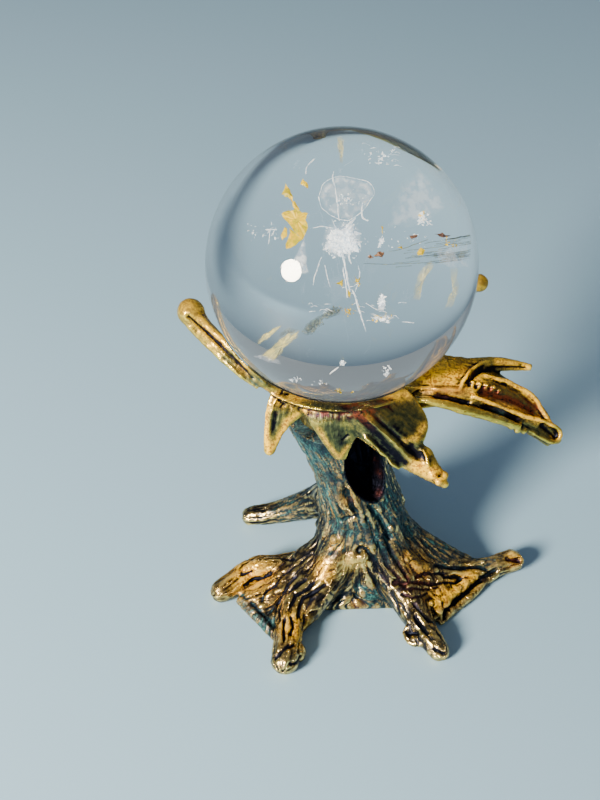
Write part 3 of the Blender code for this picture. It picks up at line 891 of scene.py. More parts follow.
@dataclass
class TrunkCasting:
    """The leaning trunk with its hollow, bark, roots and the bark sheets between them.

    A sheet's strands have a start under the trunk, a middle and an edge on the
    table, and the web fields give these three in that order.
    """

    top: float = 46.2
    core: tuple[Row, ...] = (
        (0.5, 1.5, -4, 14.5), (0.5, 1.2, 4, 13), (-0.3, 0.8, 12, 9.7), (-1.8, 0.3, 22, 7.7),
        (-3.9, 0, 31, 6.6), (-6.4, 0, 40, 7.5), (-8.4, 0, 48, 8.8))
    roots: tuple[Root, ...] = (
        Root(348.0, ((7.4, -1.2, 11.2, 4.2), (15, -2.2, 5.2, 4), (23.5, -3.2, 2, 2.5), (33, -0.9, 2.4, 2.6))),
        Root(62.0, ((3, 8.4, 11, 4.6), (3.6, 14, 5.2, 4.2), (4.2, 20.5, 2.7, 3.1), (4, 27.5, 1.8, 2.4))),
        Root(140.0,
             ((-8, 8.4, 13.6, 4.4), (-13.4, 11.4, 8.2, 3.4), (-19.8, 13, 4.2, 2.6), (-26.4, 13.6, 2.2, 2.2))),
        Root(200.0,
             ((-9.5, -3.4, 6.2, 4.4), (-17, -4.2, 3.3, 3.8), (-25, -4.4, 2.7, 3.3), (-32, -9.2, 2, 2.6))),
        Root(248.0,
             ((-8.2, -8.6, 8, 4.4), (-14.8, -13.2, 4.4, 3.4), (-16.9, -19.6, 3, 2.9), (-18, -28, 2.1, 2.9))),
        Root(298.0,
             ((5.6, -8.6, 8, 4.4), (9, -13.8, 3.8, 3.8), (11.2, -19.5, 2.4, 2.8), (14.3, -25.2, 1.7, 2.2))))
    webs: tuple[Web, ...] = (
        Web((-27.8, -10.5), (-18.2, -22.5), 4, 6), Web((-11, -12), (6, -11.4), 4, 5),
        Web((28.4, -3.2), (14.9, -16.2), 5, 6), Web((19.5, 2), (7, 14), 3, 4),
        Web((-10, 12), (0, 14.5), 3, 4))
    root_start: Span = (26.0, 4.6)
    root_bumps: tuple[Row, ...] = ((-15.9, -25.6, 1.8, 2.2), (9.9, -21.2, 1.8, 2))
    web_reach: float = 7.0
    web_share: float = 0.58
    web_heights: Place = (12.0, 4.2, 1.1)
    web_radii: Place = (3.4, 2.6, 1.5)
    web_spread: float = 26.0
    web_bend: float = 0.4
    fine_reach: float = 0.8
    fine_lifts: Place = (0.62, 0.76, 0.9)
    fine_radii: Place = (1.15, 1.1, 0.95)
    strand_sides: tuple[float, ...] = (-1.0, -0.5, 0.0, 0.5, 1.0)
    strand_spread: float = 22.0
    strand_heights: tuple[float, ...] = (49.0, 42.0, 34.0, 27.0, 21.0)
    strand_girth: float = 0.60
    strand_lift: float = 0.75
    strand_drift: Span = (0.25, 0.75)
    root_wrap: float = 74.0
    root_reach: float = 0.74
    root_girth: float = 0.31
    hollow_bearing: float = 300.0
    hollow_height: float = 37.4
    hollow_half_size: Place = (4.3, 7.4, 9.8)
    hollow_lean: float = -17.0
    hollow_reach: Span = (31.0, 10.6)
    hollow_edge: Span = (1.10, 0.08)
    lip_radii: Span = (1.7, 1.3)
    lip_steps: int = 12
    tones: tuple[tuple[Tone, tuple[Band, ...]], ...] = (
        (Tone.PATINA, (
            (9.5, 1, ((-13, -5, 40),)), (7.5, 0.9, ((-9.5, -4, 29),)), (8, 1, ((4, -5, 27), (9, -3, 18))),
            (6, 0.95, ((16, 0, 9.5),)), (3.5, 0.9, ((27, -1, 5),)),
            (2.1, 1, ((-1.2, -12, 5.4), (0.8, -11.8, 4.4))),
            (2.8, 0.9, ((-22.6, -17.8, 0.6), (-27, -12.6, 0.6))), (12, 0.9, ((0, 6, 30),)),
            (5, 0.5, ((-17, 10, 7),)), (2.6, 0.8, ((-1, -8.4, 24.4),)), (7, 0.6, ((1, -11, 0.8),)),
            (2.4, 0.7, ((14.4, -22, 2),)), (4.5, 0.75, ((-7, -8, 20.5), (1, -9, 19))))),
        (Tone.GILT, (
            (2.6, 0.6, ((-5, -8.4, 30),)), (2.6, 0.9, ((8.6, -8.4, 12), (11.2, -8.4, 9.2))),
            (3, 0.4, ((-4, -10.5, 13),)), (1.8, 0.8, ((-7.2, -8.2, 17),)), (4, 0.85, ((-16, -22, 5),)),
            (2.4, 0.9, ((-9.6, -10.8, 10.8),)), (5.6, 0.8, ((-26, -7.6, 5),)), (2.6, 0.6, ((33, -1.8, 4.4),)),
            (2.8, 0.9, ((14.6, -14.2, 4.4), (19, -10.6, 3.8), (23, -7, 3.6))),
            (1, 0.8, ((-2.6, -12.8, 1.8),)))),
        (Tone.BLUSH, (
            (1.2, 0.6, ((-2.2, -12.8, 1.6),)), (1.2, 0.4, ((32.9, -2.2, 3.6),)), (5, 0.3, ((10, -10, 9),)),
            (0.9, 0.9, ((-4.2, -8.6, 29.2),)))),
        (Tone.GROOVE_AND_SHADE, (
            (0.8, 1, ((31.4, -2.2, 4.2), (34.2, -2.2, 3.8))),
            # Painted shade: darkens the trunk's top where it lies in the shade under the cradle's leaves.
            (2.6, 0.75, ((-16, -6, 44.6), (-11, -9, 44.4), (-6, -9.5, 44), (-1, -8, 43.6))),
            (2, 0.6, ((-9, -8, 36), (-6, -7.8, 30.6))), (4, 0.44, ((-7, -8, 21), (1, -9, 19.5))),
            (1.6, 0.62, ((-19.4, -21.6, 2), (-23, -17, 2), (-26.4, -13, 2))),
            (1.5, 0.68, ((-7.8, -9.8, 14.9), (-5.4, -10, 15.6))),
            (2.4, 0.5, ((1.2, -9.2, 19), (3.2, -9.6, 16), (4.8, -10.6, 13))),
            # Painted highlight: takes the dark away on the lumps low on the trunk's front so that they show
            # bright as worn gold.
            (1.9, -0.85, ((-4.2, -10.8, 13), (-1.6, -10.8, 12.2))))))
    rust_places: Line = ((0.6, -2, 35), (1.6, -3.2, 32.4), (1.5, -5.6, 28.8))
    rust: Span = (0.9, 0.18)
    bark_ridges: Runs = (
        ((-6.6, -8.2, 34.6, 0.5), (-6.6, -7.8, 32, 1), (-6.4, -7.6, 29.2, 1.1), (-5.3, -7.9, 27, 0.9),
         (-3.8, -8.5, 25.4, 0.5)),
        ((-4.9, -8.4, 33.6, 0.5), (-4.1, -8.3, 31.2, 0.8), (-3.1, -8.3, 28.4, 0.9), (-2.1, -8.3, 26, 0.6)),
        ((12, -15.6, 5, 0.6), (14.6, -14.2, 3.9, 1), (18, -11.3, 3.3, 1.1), (21.2, -8.5, 3.1, 1),
         (24.4, -5.9, 3, 0.7)),
        ((6, -7.6, 14.8, 0.6), (8.4, -8.2, 11.6, 1.3), (10.8, -8.6, 9.2, 1.4), (13.4, -7.6, 8, 0.9)),
        ((15.2, -17.4, 0.9, 0.6), (16.8, -15.9, 1.1, 0.8), (18.8, -13.6, 1.2, 0.8), (21.3, -11.4, 1.2, 0.8),
         (23.5, -9.2, 1.3, 0.8), (26.4, -6.3, 1.5, 0.8), (28.8, -4.6, 1.9, 0.75), (30.6, -3.4, 2.7, 0.6)),
        ((-18.8, -23.6, 2.4, 0.7), (-20.4, -20.6, 2.2, 0.6), (-22.6, -17.3, 2.1, 0.55),
         (-25.3, -14.2, 2.1, 0.55), (-27.9, -11.4, 2.2, 0.6)),
        ((9.2, -19.2, 3.6, 0.5), (7.8, -20.6, 2.6, 0.7), (8.2, -22.4, 1.9, 0.8), (9.9, -23.4, 1.8, 0.8),
         (11.4, -22.9, 2.6, 0.6), (11.2, -21, 4, 0.5)),
        ((30.9, -2.4, 3.9, 0.45), (31.8, -1.2, 4.7, 0.5), (33.2, -0.7, 4.9, 0.55), (34.7, -1.3, 4.3, 0.55),
         (34.9, -2.4, 3.5, 0.5), (33.6, -3.2, 3.1, 0.5), (32, -3.1, 3.3, 0.45), (30.9, -2.4, 3.9, 0.45)),
        ((14.2, -5.2, 7.6, 0.6), (18.2, -4.9, 6.2, 0.8), (22.4, -4, 4.8, 0.8), (26.4, -3, 4.2, 0.7)),
        ((-28.4, -5.4, 4, 1.4), (-24.6, -5.4, 5.2, 1.9), (-20.6, -5.4, 6, 1.9), (-17, -5.6, 7, 1.4)),
        ((-2.4, -9.2, 17.8, 0.4), (0.1, -9.1, 15.8, 0.5), (2.6, -11, 10.9, 0.5), (4.6, -12.8, 8.4, 0.4)),
        ((2, -9, 18.8, 0.4), (4.6, -10.2, 13.4, 0.5), (7, -12.2, 9.6, 0.4)))
    bark_knots: tuple[Row, ...] = (
        (-3.6, -9.4, 13.6, 1.7), (-6.4, -9.4, 11, 1.5), (-8.2, -12.2, 7, 1.3), (7.8, -8.4, 12, 1.6),
        (-1, -11.4, 4.4, 1.3), (-2.4, -12.2, 2, 1), (3, -11.2, 2.4, 1.2), (4.2, -7.5, 20, 0.9),
        (-7.4, -8, 17.6, 1.1), (-1.5, -9.5, 13.8, 1.6))
    deep_grooves: tuple[Line, ...] = (
        ((-5.4, -8.4, 32.2), (-4.6, -8.4, 29.6), (-3.4, -8.6, 26.2)),
        ((16.2, -16.6, 1.4), (16.6, -15.4, 2.4), (18.5, -13.2, 2.5), (21, -11, 2.4), (23.2, -8.8, 2.5),
         (26, -5.9, 2.6), (28.5, -4.2, 3.1)),
        ((31.9, -2.2, 4.1), (33.9, -2.1, 4)), ((8.3, -21.6, 3), (9.6, -22, 3.6)),
        ((5.6, -13.2, 9.2), (7.6, -13.2, 8.6)), ((-0.3, -8, 26.9), (2.2, -8, 22.7), (4.3, -8.2, 17.8)))
    grooves: tuple[Line, ...] = (
        ((6.4, -13.1, 8.9), (9.9, -12, 8.1), (13.9, -10.6, 5.9), (16.6, -9.3, 4.8), (19.3, -8.9, 4.1),
         (20.7, -7.4, 3.8), (19.1, -7.2, 4.5), (16.7, -8.4, 5.5)),
        ((14.8, -6.7, 7.7), (18.1, -6.1, 5.9), (21.5, -5.1, 4.7), (24.9, -4.1, 4), (26.9, -4.3, 3.5)),
        ((9.4, -16.6, 6.6), (10.8, -18.3, 5.8), (12.3, -19.8, 4.9), (13.8, -20.4, 3.6)),
        ((10, -11, 8.5), (12.7, -8.9, 7.7), (16.7, -7.8, 5.9)),
        ((4.9, -13.8, 7), (5.8, -15.4, 5.7), (6.4, -16.9, 4.1)),
        ((9.6, -19.2, 5.1), (10.7, -21.1, 4.6), (11.8, -22.7, 4.2)), ((13.3, -26, 3.2), (15.1, -26.7, 2.6)),
        ((-0.3, -9, 13.9), (1.6, -10.7, 10.4), (4, -12.4, 8.7)),
        ((1.7, -9.2, 17.3), (3.6, -10.6, 12.5), (6.1, -12.3, 9.9)),
        ((3.1, -8.4, 19.2), (4.9, -9.5, 14), (7.1, -11.4, 10.7), (8.6, -12.4, 9.1)),
        ((-0.9, -8.6, 16.8), (1.3, -10, 13.4), (4.2, -12.6, 8.6)),
        ((-2.7, -9.6, 16.1), (-0.4, -10.4, 11.1), (1.9, -11.3, 6.6)),
        ((-5.9, -7.8, 23.2), (-3.6, -8.4, 25), (-1.1, -8.2, 23.7)),
        ((-23.3, -5.1, 6.1), (-25.5, -6.2, 5.3), (-27.6, -7.1, 5.1)),
        ((-21, -8, 5.7), (-23.2, -7.8, 4.7), (-25.1, -7.9, 4.3), (-27.1, -8.9, 3.5)),
        ((-18.2, -8.7, 6.5), (-19.9, -10.6, 5.1), (-21.6, -11.3, 4), (-23.1, -12.9, 3.3)),
        ((-15.7, -10.3, 7.6), (-17.2, -11.4, 6.5), (-18.4, -12.9, 5.5), (-19.8, -14.1, 3.6)),
        ((-13.8, -11.7, 8.8), (-15.7, -12.8, 7.7), (-17.2, -13.9, 6.7), (-18.6, -15.3, 5.5),
         (-19.5, -16.6, 4.3), (-19.3, -20, 4.6)),
        ((-12, -12.6, 8.9), (-13.8, -14, 7.7), (-15.7, -15, 7.3), (-16.9, -17, 6.6)),
        ((-9.8, -13.3, 8.8), (-12, -14.3, 7.6), (-14.1, -15.3, 6.9), (-15, -17.1, 6.3), (-15.2, -19.2, 5.5)),
        ((-16.7, -19.6, 6), (-16.4, -21.7, 5.4), (-17, -23.5, 5.2)),
        ((-18.5, -20.1, 5.2), (-18.3, -23.1, 5.2), (-18, -25.2, 5.1)),
        ((-16.9, -30, 3.4), (-15.6, -29, 2.8), (-14.7, -27.5, 2.3)),
        ((-19.8, -28.7, 4), (-18, -27.3, 4.9), (-16.2, -25.9, 4.5)),
        ((-22.3, -5.1, 6.2), (-19.5, -4.9, 6.9), (-16.3, -6.2, 8.6)),
        ((-27, -11, 2.2), (-25, -13.6, 2.4), (-22.3, -16.8, 2.6), (-20, -20, 2.9)))
    thin_grooves: tuple[Line, ...] = (
        ((7, -13.9, 8.1), (9.8, -13.7, 7.8), (12.6, -12, 5.6), (15.2, -11.1, 5)),
        ((7, -14.8, 7.3), (9.1, -15.5, 7.2), (11.1, -14.6, 6.5), (12.5, -12.9, 5.5)),
        ((-26.6, -2.9, 5), (-23.9, -4.6, 6.3)), ((-14.1, -18.5, 5.1), (-13.8, -19.9, 4), (-14.1, -20.9, 3.4)))
    groove_sizes: tuple[Span, ...] = ((0.6, 0.9), (0.45, 0.5), (0.3, 0.3))
    voxel: float = 0.32

    def section(self, height: float) -> list[float]:
        """Give the middle and the radius of the trunk's core at a height."""
        last = len(self.core) - 1
        above = next((index for index, row in enumerate(self.core) if row[2] >= height), last)
        low, high = self.core[above - 1], self.core[above]
        rest = (height - low[2]) / (high[2] - low[2])
        return [start + (end - start) * rest for start, end in zip(low, high)]

    def on_trunk(self, bearing: float, height: float, lift: float, radius: float) -> Row:
        """Give a row on the trunk.

        Args:
            bearing: The bearing round the trunk in degrees.
            height: The height.
            lift: How far outside the core it lies.
            radius: The radius of the row.

        Returns:
            The row.
        """
        middle_x, middle_y, _, core = self.section(height)
        angle = math.radians(bearing)
        reach = core + lift
        return (middle_x + reach * math.cos(angle), middle_y + reach * math.sin(angle), height, radius)

    def root_feet(self, root: Root, chance: random.Random) -> list[tuple[float, list[Row]]]:
        """Give the lower ends of a root's bark strands.

        Args:
            root: The root.
            chance: The source of small differences.

        Returns:
            For each strand, its bearing at the trunk's foot and its rows along the root.
        """
        outward = (Vector(root.run[-1][:2]) - Vector(root.run[0][:2])).normalized()
        feet = []
        for side in self.strand_sides:
            tail = []
            for x, y, z, radius in root.run:
                wrap = math.radians(side * self.root_wrap + chance.uniform(-7.0, 7.0))
                reach = radius * self.root_reach
                shift = reach * math.sin(wrap)
                tail.append((x - outward.y * shift, y + outward.x * shift, z + reach * math.cos(wrap),
                             radius * self.root_girth * chance.uniform(0.8, 1.2)))
            feet.append((root.bearing + side * self.strand_spread, tail))
        return feet

    def web_line(self, edge: Vector, out: float = 0.0) -> tuple[Vector, Vector]:
        """Give the start and the middle of a sheet's strand that ends at an edge."""
        start = edge.normalized() * (self.web_reach + out)
        return start, start.lerp(edge, self.web_share)

    def web_feet(self, web: Web) -> list[tuple[float, list[Row]]]:
        """Give the lower ends of a bark sheet's fine strands.

        Args:
            web: The sheet.

        Returns:
            For each strand, its bearing at the trunk's foot and its rows across the sheet.
        """
        bearing = self.turn_of((Vector(web.first) + Vector(web.last)) / 2)
        first, last = (Vector(end) for end in sorted((web.first, web.last), key=self.turn_of))
        feet = []
        for index in range(web.fine_strands):
            part = (index + 0.5) / web.fine_strands
            bent = part * self.web_bend if part < 0.5 else 1.0 - (1.0 - part) * self.web_bend
            run = (*self.web_line(first.lerp(last, part), self.fine_reach), first.lerp(last, bent))
            tail = [(spot.x, spot.y, height + radius * lift, fine) for spot, height, radius, lift, fine in
                    zip(run, self.web_heights, self.web_radii, self.fine_lifts, self.fine_radii)]
            feet.append((bearing + (part - 0.5) * self.web_spread, tail))
        return feet

    @staticmethod
    def turn_of(place: Sequence[float]) -> float:
        """Give the bearing of a place from the trunk's middle, from 0 to 360."""
        return math.degrees(math.atan2(place[1], place[0])) % 360.0

    def bark_paths(self) -> list[list[Row]]:
        """Lay every bark strand: evenly spaced down the trunk, then out along its root or sheet."""
        chance = random.Random(7)
        feet: list[tuple[float, list[Row]]] = []
        for root in self.roots:
            feet.extend(self.root_feet(root, chance))
        for web in self.webs:
            feet.extend(self.web_feet(web))
        feet.sort(key=lambda foot: foot[0] % 360.0)
        least, most = self.strand_drift
        paths = []
        for index, (bearing, tail) in enumerate(feet):
            even = 360.0 * (index + 0.5) / len(feet)
            drift = (bearing % 360.0) - even
            rows = []
            for step, height in enumerate(self.strand_heights):
                share = least + most * step / len(self.strand_heights)
                turn = even + drift * share + chance.uniform(-1.4, 1.4)
                girth = math.tau * (self.section(height)[3] + self.strand_lift) / len(feet)
                rows.append(self.on_trunk(turn, height, self.strand_lift + chance.uniform(-0.2, 0.25),
                                          girth * self.strand_girth * chance.uniform(0.85, 1.25)))
            paths.append(rows + tail)
        return paths

    def base_paths(self) -> list[list[Row]]:
        """Lay the core, the lip round the hollow, the roots and the stiff strands of the sheets."""
        height, radius = self.root_start
        middle_x, middle_y, *_ = self.section(height)
        paths = [list(self.core), self.hollow_lip()]
        paths.extend([(middle_x, middle_y, height, radius), *root.run] for root in self.roots)
        edge_row = (self.web_heights[-1], self.web_radii[-1])
        for web in self.webs:
            edges = [Vector(web.first).lerp(Vector(web.last), index / (web.strands - 1))
                     for index in range(web.strands)]
            for edge in edges:
                run = (*self.web_line(edge), edge)
                paths.append([(*spot, *row) for spot, row in zip(run, zip(self.web_heights, self.web_radii))])
            paths.append([(*edge, *edge_row) for edge in edges])
        return paths

    def hollow_lip(self) -> list[Row]:
        """Give the ring of bark that stands up round the hollow."""
        wide, narrow = self.lip_radii
        rows = []
        for step in range(self.lip_steps + 1):
            turn = math.tau * step / self.lip_steps
            share = (math.cos(turn) + 1) / 2
            rows.append(self.on_trunk(self.hollow_bearing + self.hollow_reach[0] * math.cos(turn),
                                      self.hollow_height + self.hollow_reach[1] * math.sin(turn), 0.0,
                                      wide + (narrow - wide) * share))
        return rows

    def fill_web(self, form: Form, web: Web) -> None:
        """Fill a bark sheet down to the table with a wedge under its strands."""
        below = -1.0
        top, middle_top, edge_top = self.web_heights
        corners = [(0.0, 0.0, below)]
        for edge in (Vector(web.first), Vector(web.last)):
            start, middle = self.web_line(edge)
            corners += [(*start, top), (*middle, middle_top), (*edge, below), (*edge, edge_top)]
        wedge = bmesh.new()
        for corner in corners:
            wedge.verts.new(metres(corner))
        hull = bmesh.ops.convex_hull(wedge, input=wedge.verts)
        bmesh.ops.delete(wedge, geom=list(set(hull["geom_unused"] + hull["geom_interior"])), context="VERTS")
        form.add_mesh(mesh_of(wedge, "wedge", outward=True))

    def hollow_place(self) -> Matrix:
        """Give the place of the hollow's egg-shaped pocket."""
        facing = math.radians(self.hollow_bearing + 90.0)
        middle = at(self.on_trunk(self.hollow_bearing, self.hollow_height, 0.0, 0.0))
        size = Matrix.Diagonal((*(Vector(self.hollow_half_size) * MM), 1.0))
        lean = Matrix.Rotation(math.radians(self.hollow_lean), 4, "Y")
        return middle @ lean @ Matrix.Rotation(facing, 4, "Z") @ size

    def crevices(self) -> list[Mark]:
        """List the crevices that are worked into the bark."""
        kinds = zip((self.deep_grooves, self.grooves, self.thin_grooves), self.groove_sizes)
        return [mark for lines, size in kinds for places in lines for mark in marks_along(places, *size)]

    def build(self, sweeper: SweepTree, finish: Material) -> None:
        """Build the trunk.

        Args:
            sweeper: The tree that sweeps the bark strands.
            finish: The trunk's material.
        """
        form = Form("trunk_casting")
        form.add_mesh(sweeper.sweep(self.base_paths(), finish, step=0.9, sides=20))
        bark = self.bark_paths()
        form.add_mesh(sweeper.sweep(bark, finish, step=0.7, waver=1.3, length=5.0, seed=3))
        form.add_mesh(sweeper.sweep(self.bark_ridges, finish, step=0.5, waver=0.5, length=3.0, seed=8))
        for web in self.webs:
            self.fill_web(form, web)
        form.add_knobs([*(root.run[-1] for root in self.roots), *self.root_bumps, *self.bark_knots])
        pocket = bmesh.new()
        bmesh.ops.create_icosphere(pocket, subdivisions=4, radius=1.0, matrix=self.hollow_place())
        carved = [form.new_cutter("hollow_cutter", pocket)]
        trimmed = [form.block("table_cutter", -30.0, 0.0), form.block("top_cutter", self.top, 90.0)]
        skin = Skin(form.fused(self.voxel, carved, trimmed))
        skin.carve(self.crevices())
        skin.grow_bark(bark, Bark(height=0.24, size=0.9, stretch=8.0, top=self.top))
        skin.roughen(0.10, 1.6)
        skin.keep_between(0.0, self.top)
        skin.read_grooves(0.22, 1.3)
        for tone, bands in self.tones:
            skin.tint(tone, bands)
        self.darken_hollow(skin)
        settle(skin.finished("trunk_casting", finish), "tree_trunk", covers=True)

    def darken_hollow(self, skin: Skin) -> None:
        """Make the inside of the hollow near black, with rust on its right wall."""
        back = self.hollow_place().inverted()
        inside = skin.places @ (np.array(back.to_3x3()) * MM).T + np.array(back.translation)
        end, width = self.hollow_edge
        weight = np.clip((end - np.linalg.norm(inside, axis=1)) / width, 0.0, 1.0)
        np.maximum(skin.tones[Tone.GROOVE_AND_SHADE], weight, out=skin.tones[Tone.GROOVE_AND_SHADE])
        skin.tones[Tone.PATINA] *= 1.0 - weight
        skin.tint(Tone.BLUSH, [(*self.rust, (place,)) for place in self.rust_places])


@dataclass(frozen=True)
class Leaf:
    """One leaf: stations along its midrib with both widths, and how its two halves spread and curl."""

    stations: tuple[tuple[float, float, float, float, float], ...]
    left: tuple[Place, Place]
    right: tuple[Place, Place]
    curl: Span
    rib: float = 0.45
    veins: int = 0
    edge: float = 0.5


@dataclass
class CradleCasting:
    """The cup under the ball with its leaves, two ball-ended twigs and the short neck."""

    gap: float = 0.3
    cup_wall: float = 1.6
    cup_drop: float = 20.2
    cup_tilt: float = 6.0
    bottom: float = 46.5
    sheet: float = 1.5
    skyward: Place = (0.0, -1.0, 1.0)
    steps: int = 56
    half_columns: int = 14
    neck: tuple[Row, ...] = (
        (-8, 0, 44, 7.8), (-7.8, 0.6, 48.5, 7.6), (-7.3, 1.4, 53.5, 10.4), (-7.3, 1.9, 57, 11))
    left_twig: tuple[Row, ...] = (
        (-16, -10.5, 60, 1.8), (-22.3, -11, 63.3, 1.1), (-25.6, -9.2, 65.8, 1.3), (-29.5, -6.6, 68, 1.8),
        (-32.7, -4.6, 70.2, 2), (-35, -3, 73.1, 2.2))
    right_twig: tuple[Row, ...] = (
        (2, 11, 58.5, 2.2), (9.6, 12.6, 61.6, 1.9), (16.2, 12, 66.6, 1.6), (19.8, 8.8, 71.6, 1.2))
    twig_knobs: Span = (2.6, 1.8)
    twig_bark: Runs = (
        ((-21, -11.6, 63.6, 0.5), (-24.6, -10.4, 66.4, 0.6), (-28.4, -7.6, 69.2, 0.7),
         (-31.8, -5.4, 71.6, 0.7), (-34, -4.2, 73.6, 0.8), (-35.6, -3.8, 74.4, 0.7)),
        ((-22.6, -11.8, 62.4, 0.45), (-26.6, -10.2, 65, 0.6), (-30.2, -7.8, 67.2, 0.7),
         (-33.6, -5.8, 69.8, 0.7), (-36, -4.6, 72.4, 0.7)),
        ((-24.6, -10.2, 64.2, 0.5), (-28, -8.4, 66.2, 0.7), (-31.2, -6.4, 68.2, 0.7),
         (-34.4, -4.4, 70.8, 0.7)))
    leaves: tuple[Leaf, ...] = (
        Leaf(((-8, -11, 60.2, 8, 9), (-5.2, -15.6, 60.6, 7, 9.6), (-1.8, -17.2, 58.2, 4.4, 9),
              (2.4, -18.6, 54.8, 3.6, 6.8), (4.9, -19.4, 52.9, 3.3, 2.9), (6.6, -19.9, 51.7, 2.8, 2.8),
              (9.2, -20.7, 49.6, 1.7, 1.5), (11.2, -21.3, 48, 0.9, 0.9)),
             ((-0.8, 0.25, -0.54), (-0.55, 0, -0.83)), ((0.9, 0.42, 0.1), (0.8, 0.1, 0.59)), (0.4, 0.8),
             rib=0.16, edge=0.36),
        Leaf(((-8, -11, 60.2, 7, 5), (-8.2, -15.2, 58.8, 5.6, 5), (-8, -16.2, 55.4, 3.8, 3.6),
              (-7.6, -16.3, 52.2, 2.4, 2), (-7.2, -16.2, 48.8, 0.7, 0.7)), ((-0.97, 0.2, -0.14), (-1, 0, 0)),
             ((0.97, -0.2, 0.1), (1, 0, 0)), (0.5, 0.2), rib=0.0),
        Leaf(((-16.5, -9, 61, 2, 8), (-18.8, -11.4, 60.2, 1.2, 8), (-20, -12.8, 57.4, 0.9, 5),
              (-20.5, -13.6, 54, 0.6, 2.8), (-20.7, -14.1, 50.8, 0.6, 1.4), (-20.7, -14.3, 48.8, 0.5, 0.6)),
             ((-0.9, 0.43, 0), (-1, 0.1, 0)), ((0.93, -0.2, -0.3), (1, 0.1, 0)), (0.2, 0.3), rib=0.3,
             edge=0.4),
        Leaf(((5, -6, 61, 5, 6.4), (11, -7.6, 62.2, 4.8, 5.2), (17.4, -8.4, 61.4, 5.2, 5),
              (23.2, -9.2, 59, 4, 4.4), (28, -10.2, 56, 3.2, 3.1), (31.8, -11.3, 52.8, 1.8, 2),
              (34, -12.2, 50.2, 0.9, 0.9)), ((0.05, 0.98, 0.12), (0.3, 0.9, 0.1)),
             ((0, -0.9, -0.43), (-0.25, -0.8, -0.5)), (0.6, 1.8), rib=0.0),
        Leaf(((-9, 13, 57.6, 6, 6), (-10.4, 18.2, 57.4, 5.6, 5.6), (-11.8, 22.2, 54.6, 4.4, 4.4),
              (-12.8, 24.6, 51, 2.4, 2.4), (-13.2, 25.8, 48.4, 0.8, 0.8)), ((0.97, 0.22, 0), (0.97, 0.22, 0)),
             ((-0.97, -0.22, 0), (-0.97, -0.22, 0)), (0.9, 0.9), veins=5))
    vein_places: tuple[float, ...] = (0.0, 0.35, 0.7, 1.0)
    vein_starts: Span = (0.12, 0.62)
    vein_run: float = 0.12
    vein_radius: float = 0.28
    tips: tuple[Row, ...] = (
        (11.3, -21.3, 47.9, 1.3), (-20.7, -14.3, 48.9, 1), (34.1, -12.3, 50.1, 1.1), (-13.2, 25.8, 48.5, 1.1),
        (9.8, -21.2, 49.2, 1), (11.9, -21, 48.7, 0.9), (10.9, -22.2, 48.3, 0.8), (12, -21.9, 47.4, 0.8))
    spurs: Runs = (
        ((16, -4.2, 61.2, 1.6), (23, -3.4, 61.2, 1.4), (29.4, -3.6, 60.6, 0.6)),
        ((23, -6.6, 59.2, 1.2), (28.6, -8.2, 56.4, 1.2), (32.2, -10.4, 53, 1)))
    raised_lines: Runs = (
        ((14.9, -10.9, 61.2, 0.3), (16.1, -9, 62.8, 0.35), (17.6, -6.8, 62.8, 0.35), (19.6, -4.8, 62.6, 0.35),
         (22.2, -3.8, 62.3, 0.35), (25.4, -3.4, 61.8, 0.35), (28.8, -3.6, 61, 0.3)),
        ((20, -7.4, 61.6, 0.4), (23.9, -7.4, 60.2, 0.5), (26.8, -7.7, 58.8, 0.5), (29.3, -8.5, 57.4, 0.5),
         (31, -10, 55.6, 0.45), (32.6, -11.6, 53.6, 0.4)),
        ((17.2, -11.6, 60.2, 0.4), (20.4, -11.9, 58.9, 0.5), (24, -12.2, 57.2, 0.5), (27.4, -12.2, 55.8, 0.5),
         (30.4, -12, 54.6, 0.45)),
        ((6.4, -12.2, 60.2, 0.6), (10.7, -12.6, 59.4, 0.9), (13.6, -13, 58.9, 1), (17, -13.3, 57.9, 1.05),
         (20.4, -13.5, 56.8, 1), (23.8, -13.4, 55.4, 0.9), (26.6, -13.2, 53.9, 0.8)),
        ((28.4, -12.9, 52.8, 0.4), (31, -13.2, 51.3, 0.45), (33.2, -13.4, 50.2, 0.5),
         (34.6, -12.8, 50.8, 0.5), (34.6, -12.2, 52, 0.45), (32.8, -12, 53.4, 0.4), (30.6, -12, 54.4, 0.35)),
        ((4, -11.4, 61.9, 0.25), (7.5, -10.3, 61, 0.3), (11.2, -10.8, 61.2, 0.3), (15, -11.1, 61.1, 0.3)),
        ((7.6, -19.4, 53.9, 0.4), (8.4, -20.3, 52.5, 0.4), (8.8, -21.2, 51, 0.4)),
        ((-3.2, -17.9, 55.8, 0.2), (-2, -18.3, 55, 0.45), (-0.8, -18.7, 53.8, 0.25), (0.3, -18.9, 52.6, 0.45),
         (1.3, -19.2, 51.6, 0.25), (2.4, -19.6, 50.5, 0.42), (3.8, -19.9, 49.3, 0.25)))
    beads: tuple[Row, ...] = (
        (17.2, -9.6, 61.8, 0.5), (18.6, -9.7, 61.4, 0.45), (20, -9.7, 61, 0.45), (21.4, -9.7, 60.6, 0.45),
        (22.5, -10, 60, 0.4), (24.9, -13.4, 54.4, 0.8), (26.2, -13.4, 53.4, 0.7), (27.4, -13.1, 52.9, 0.7),
        (12.2, -12.8, 59.5, 0.7), (15.6, -13.2, 58.6, 0.8), (19, -13.5, 57.5, 0.8), (22.4, -13.6, 56.2, 0.8))
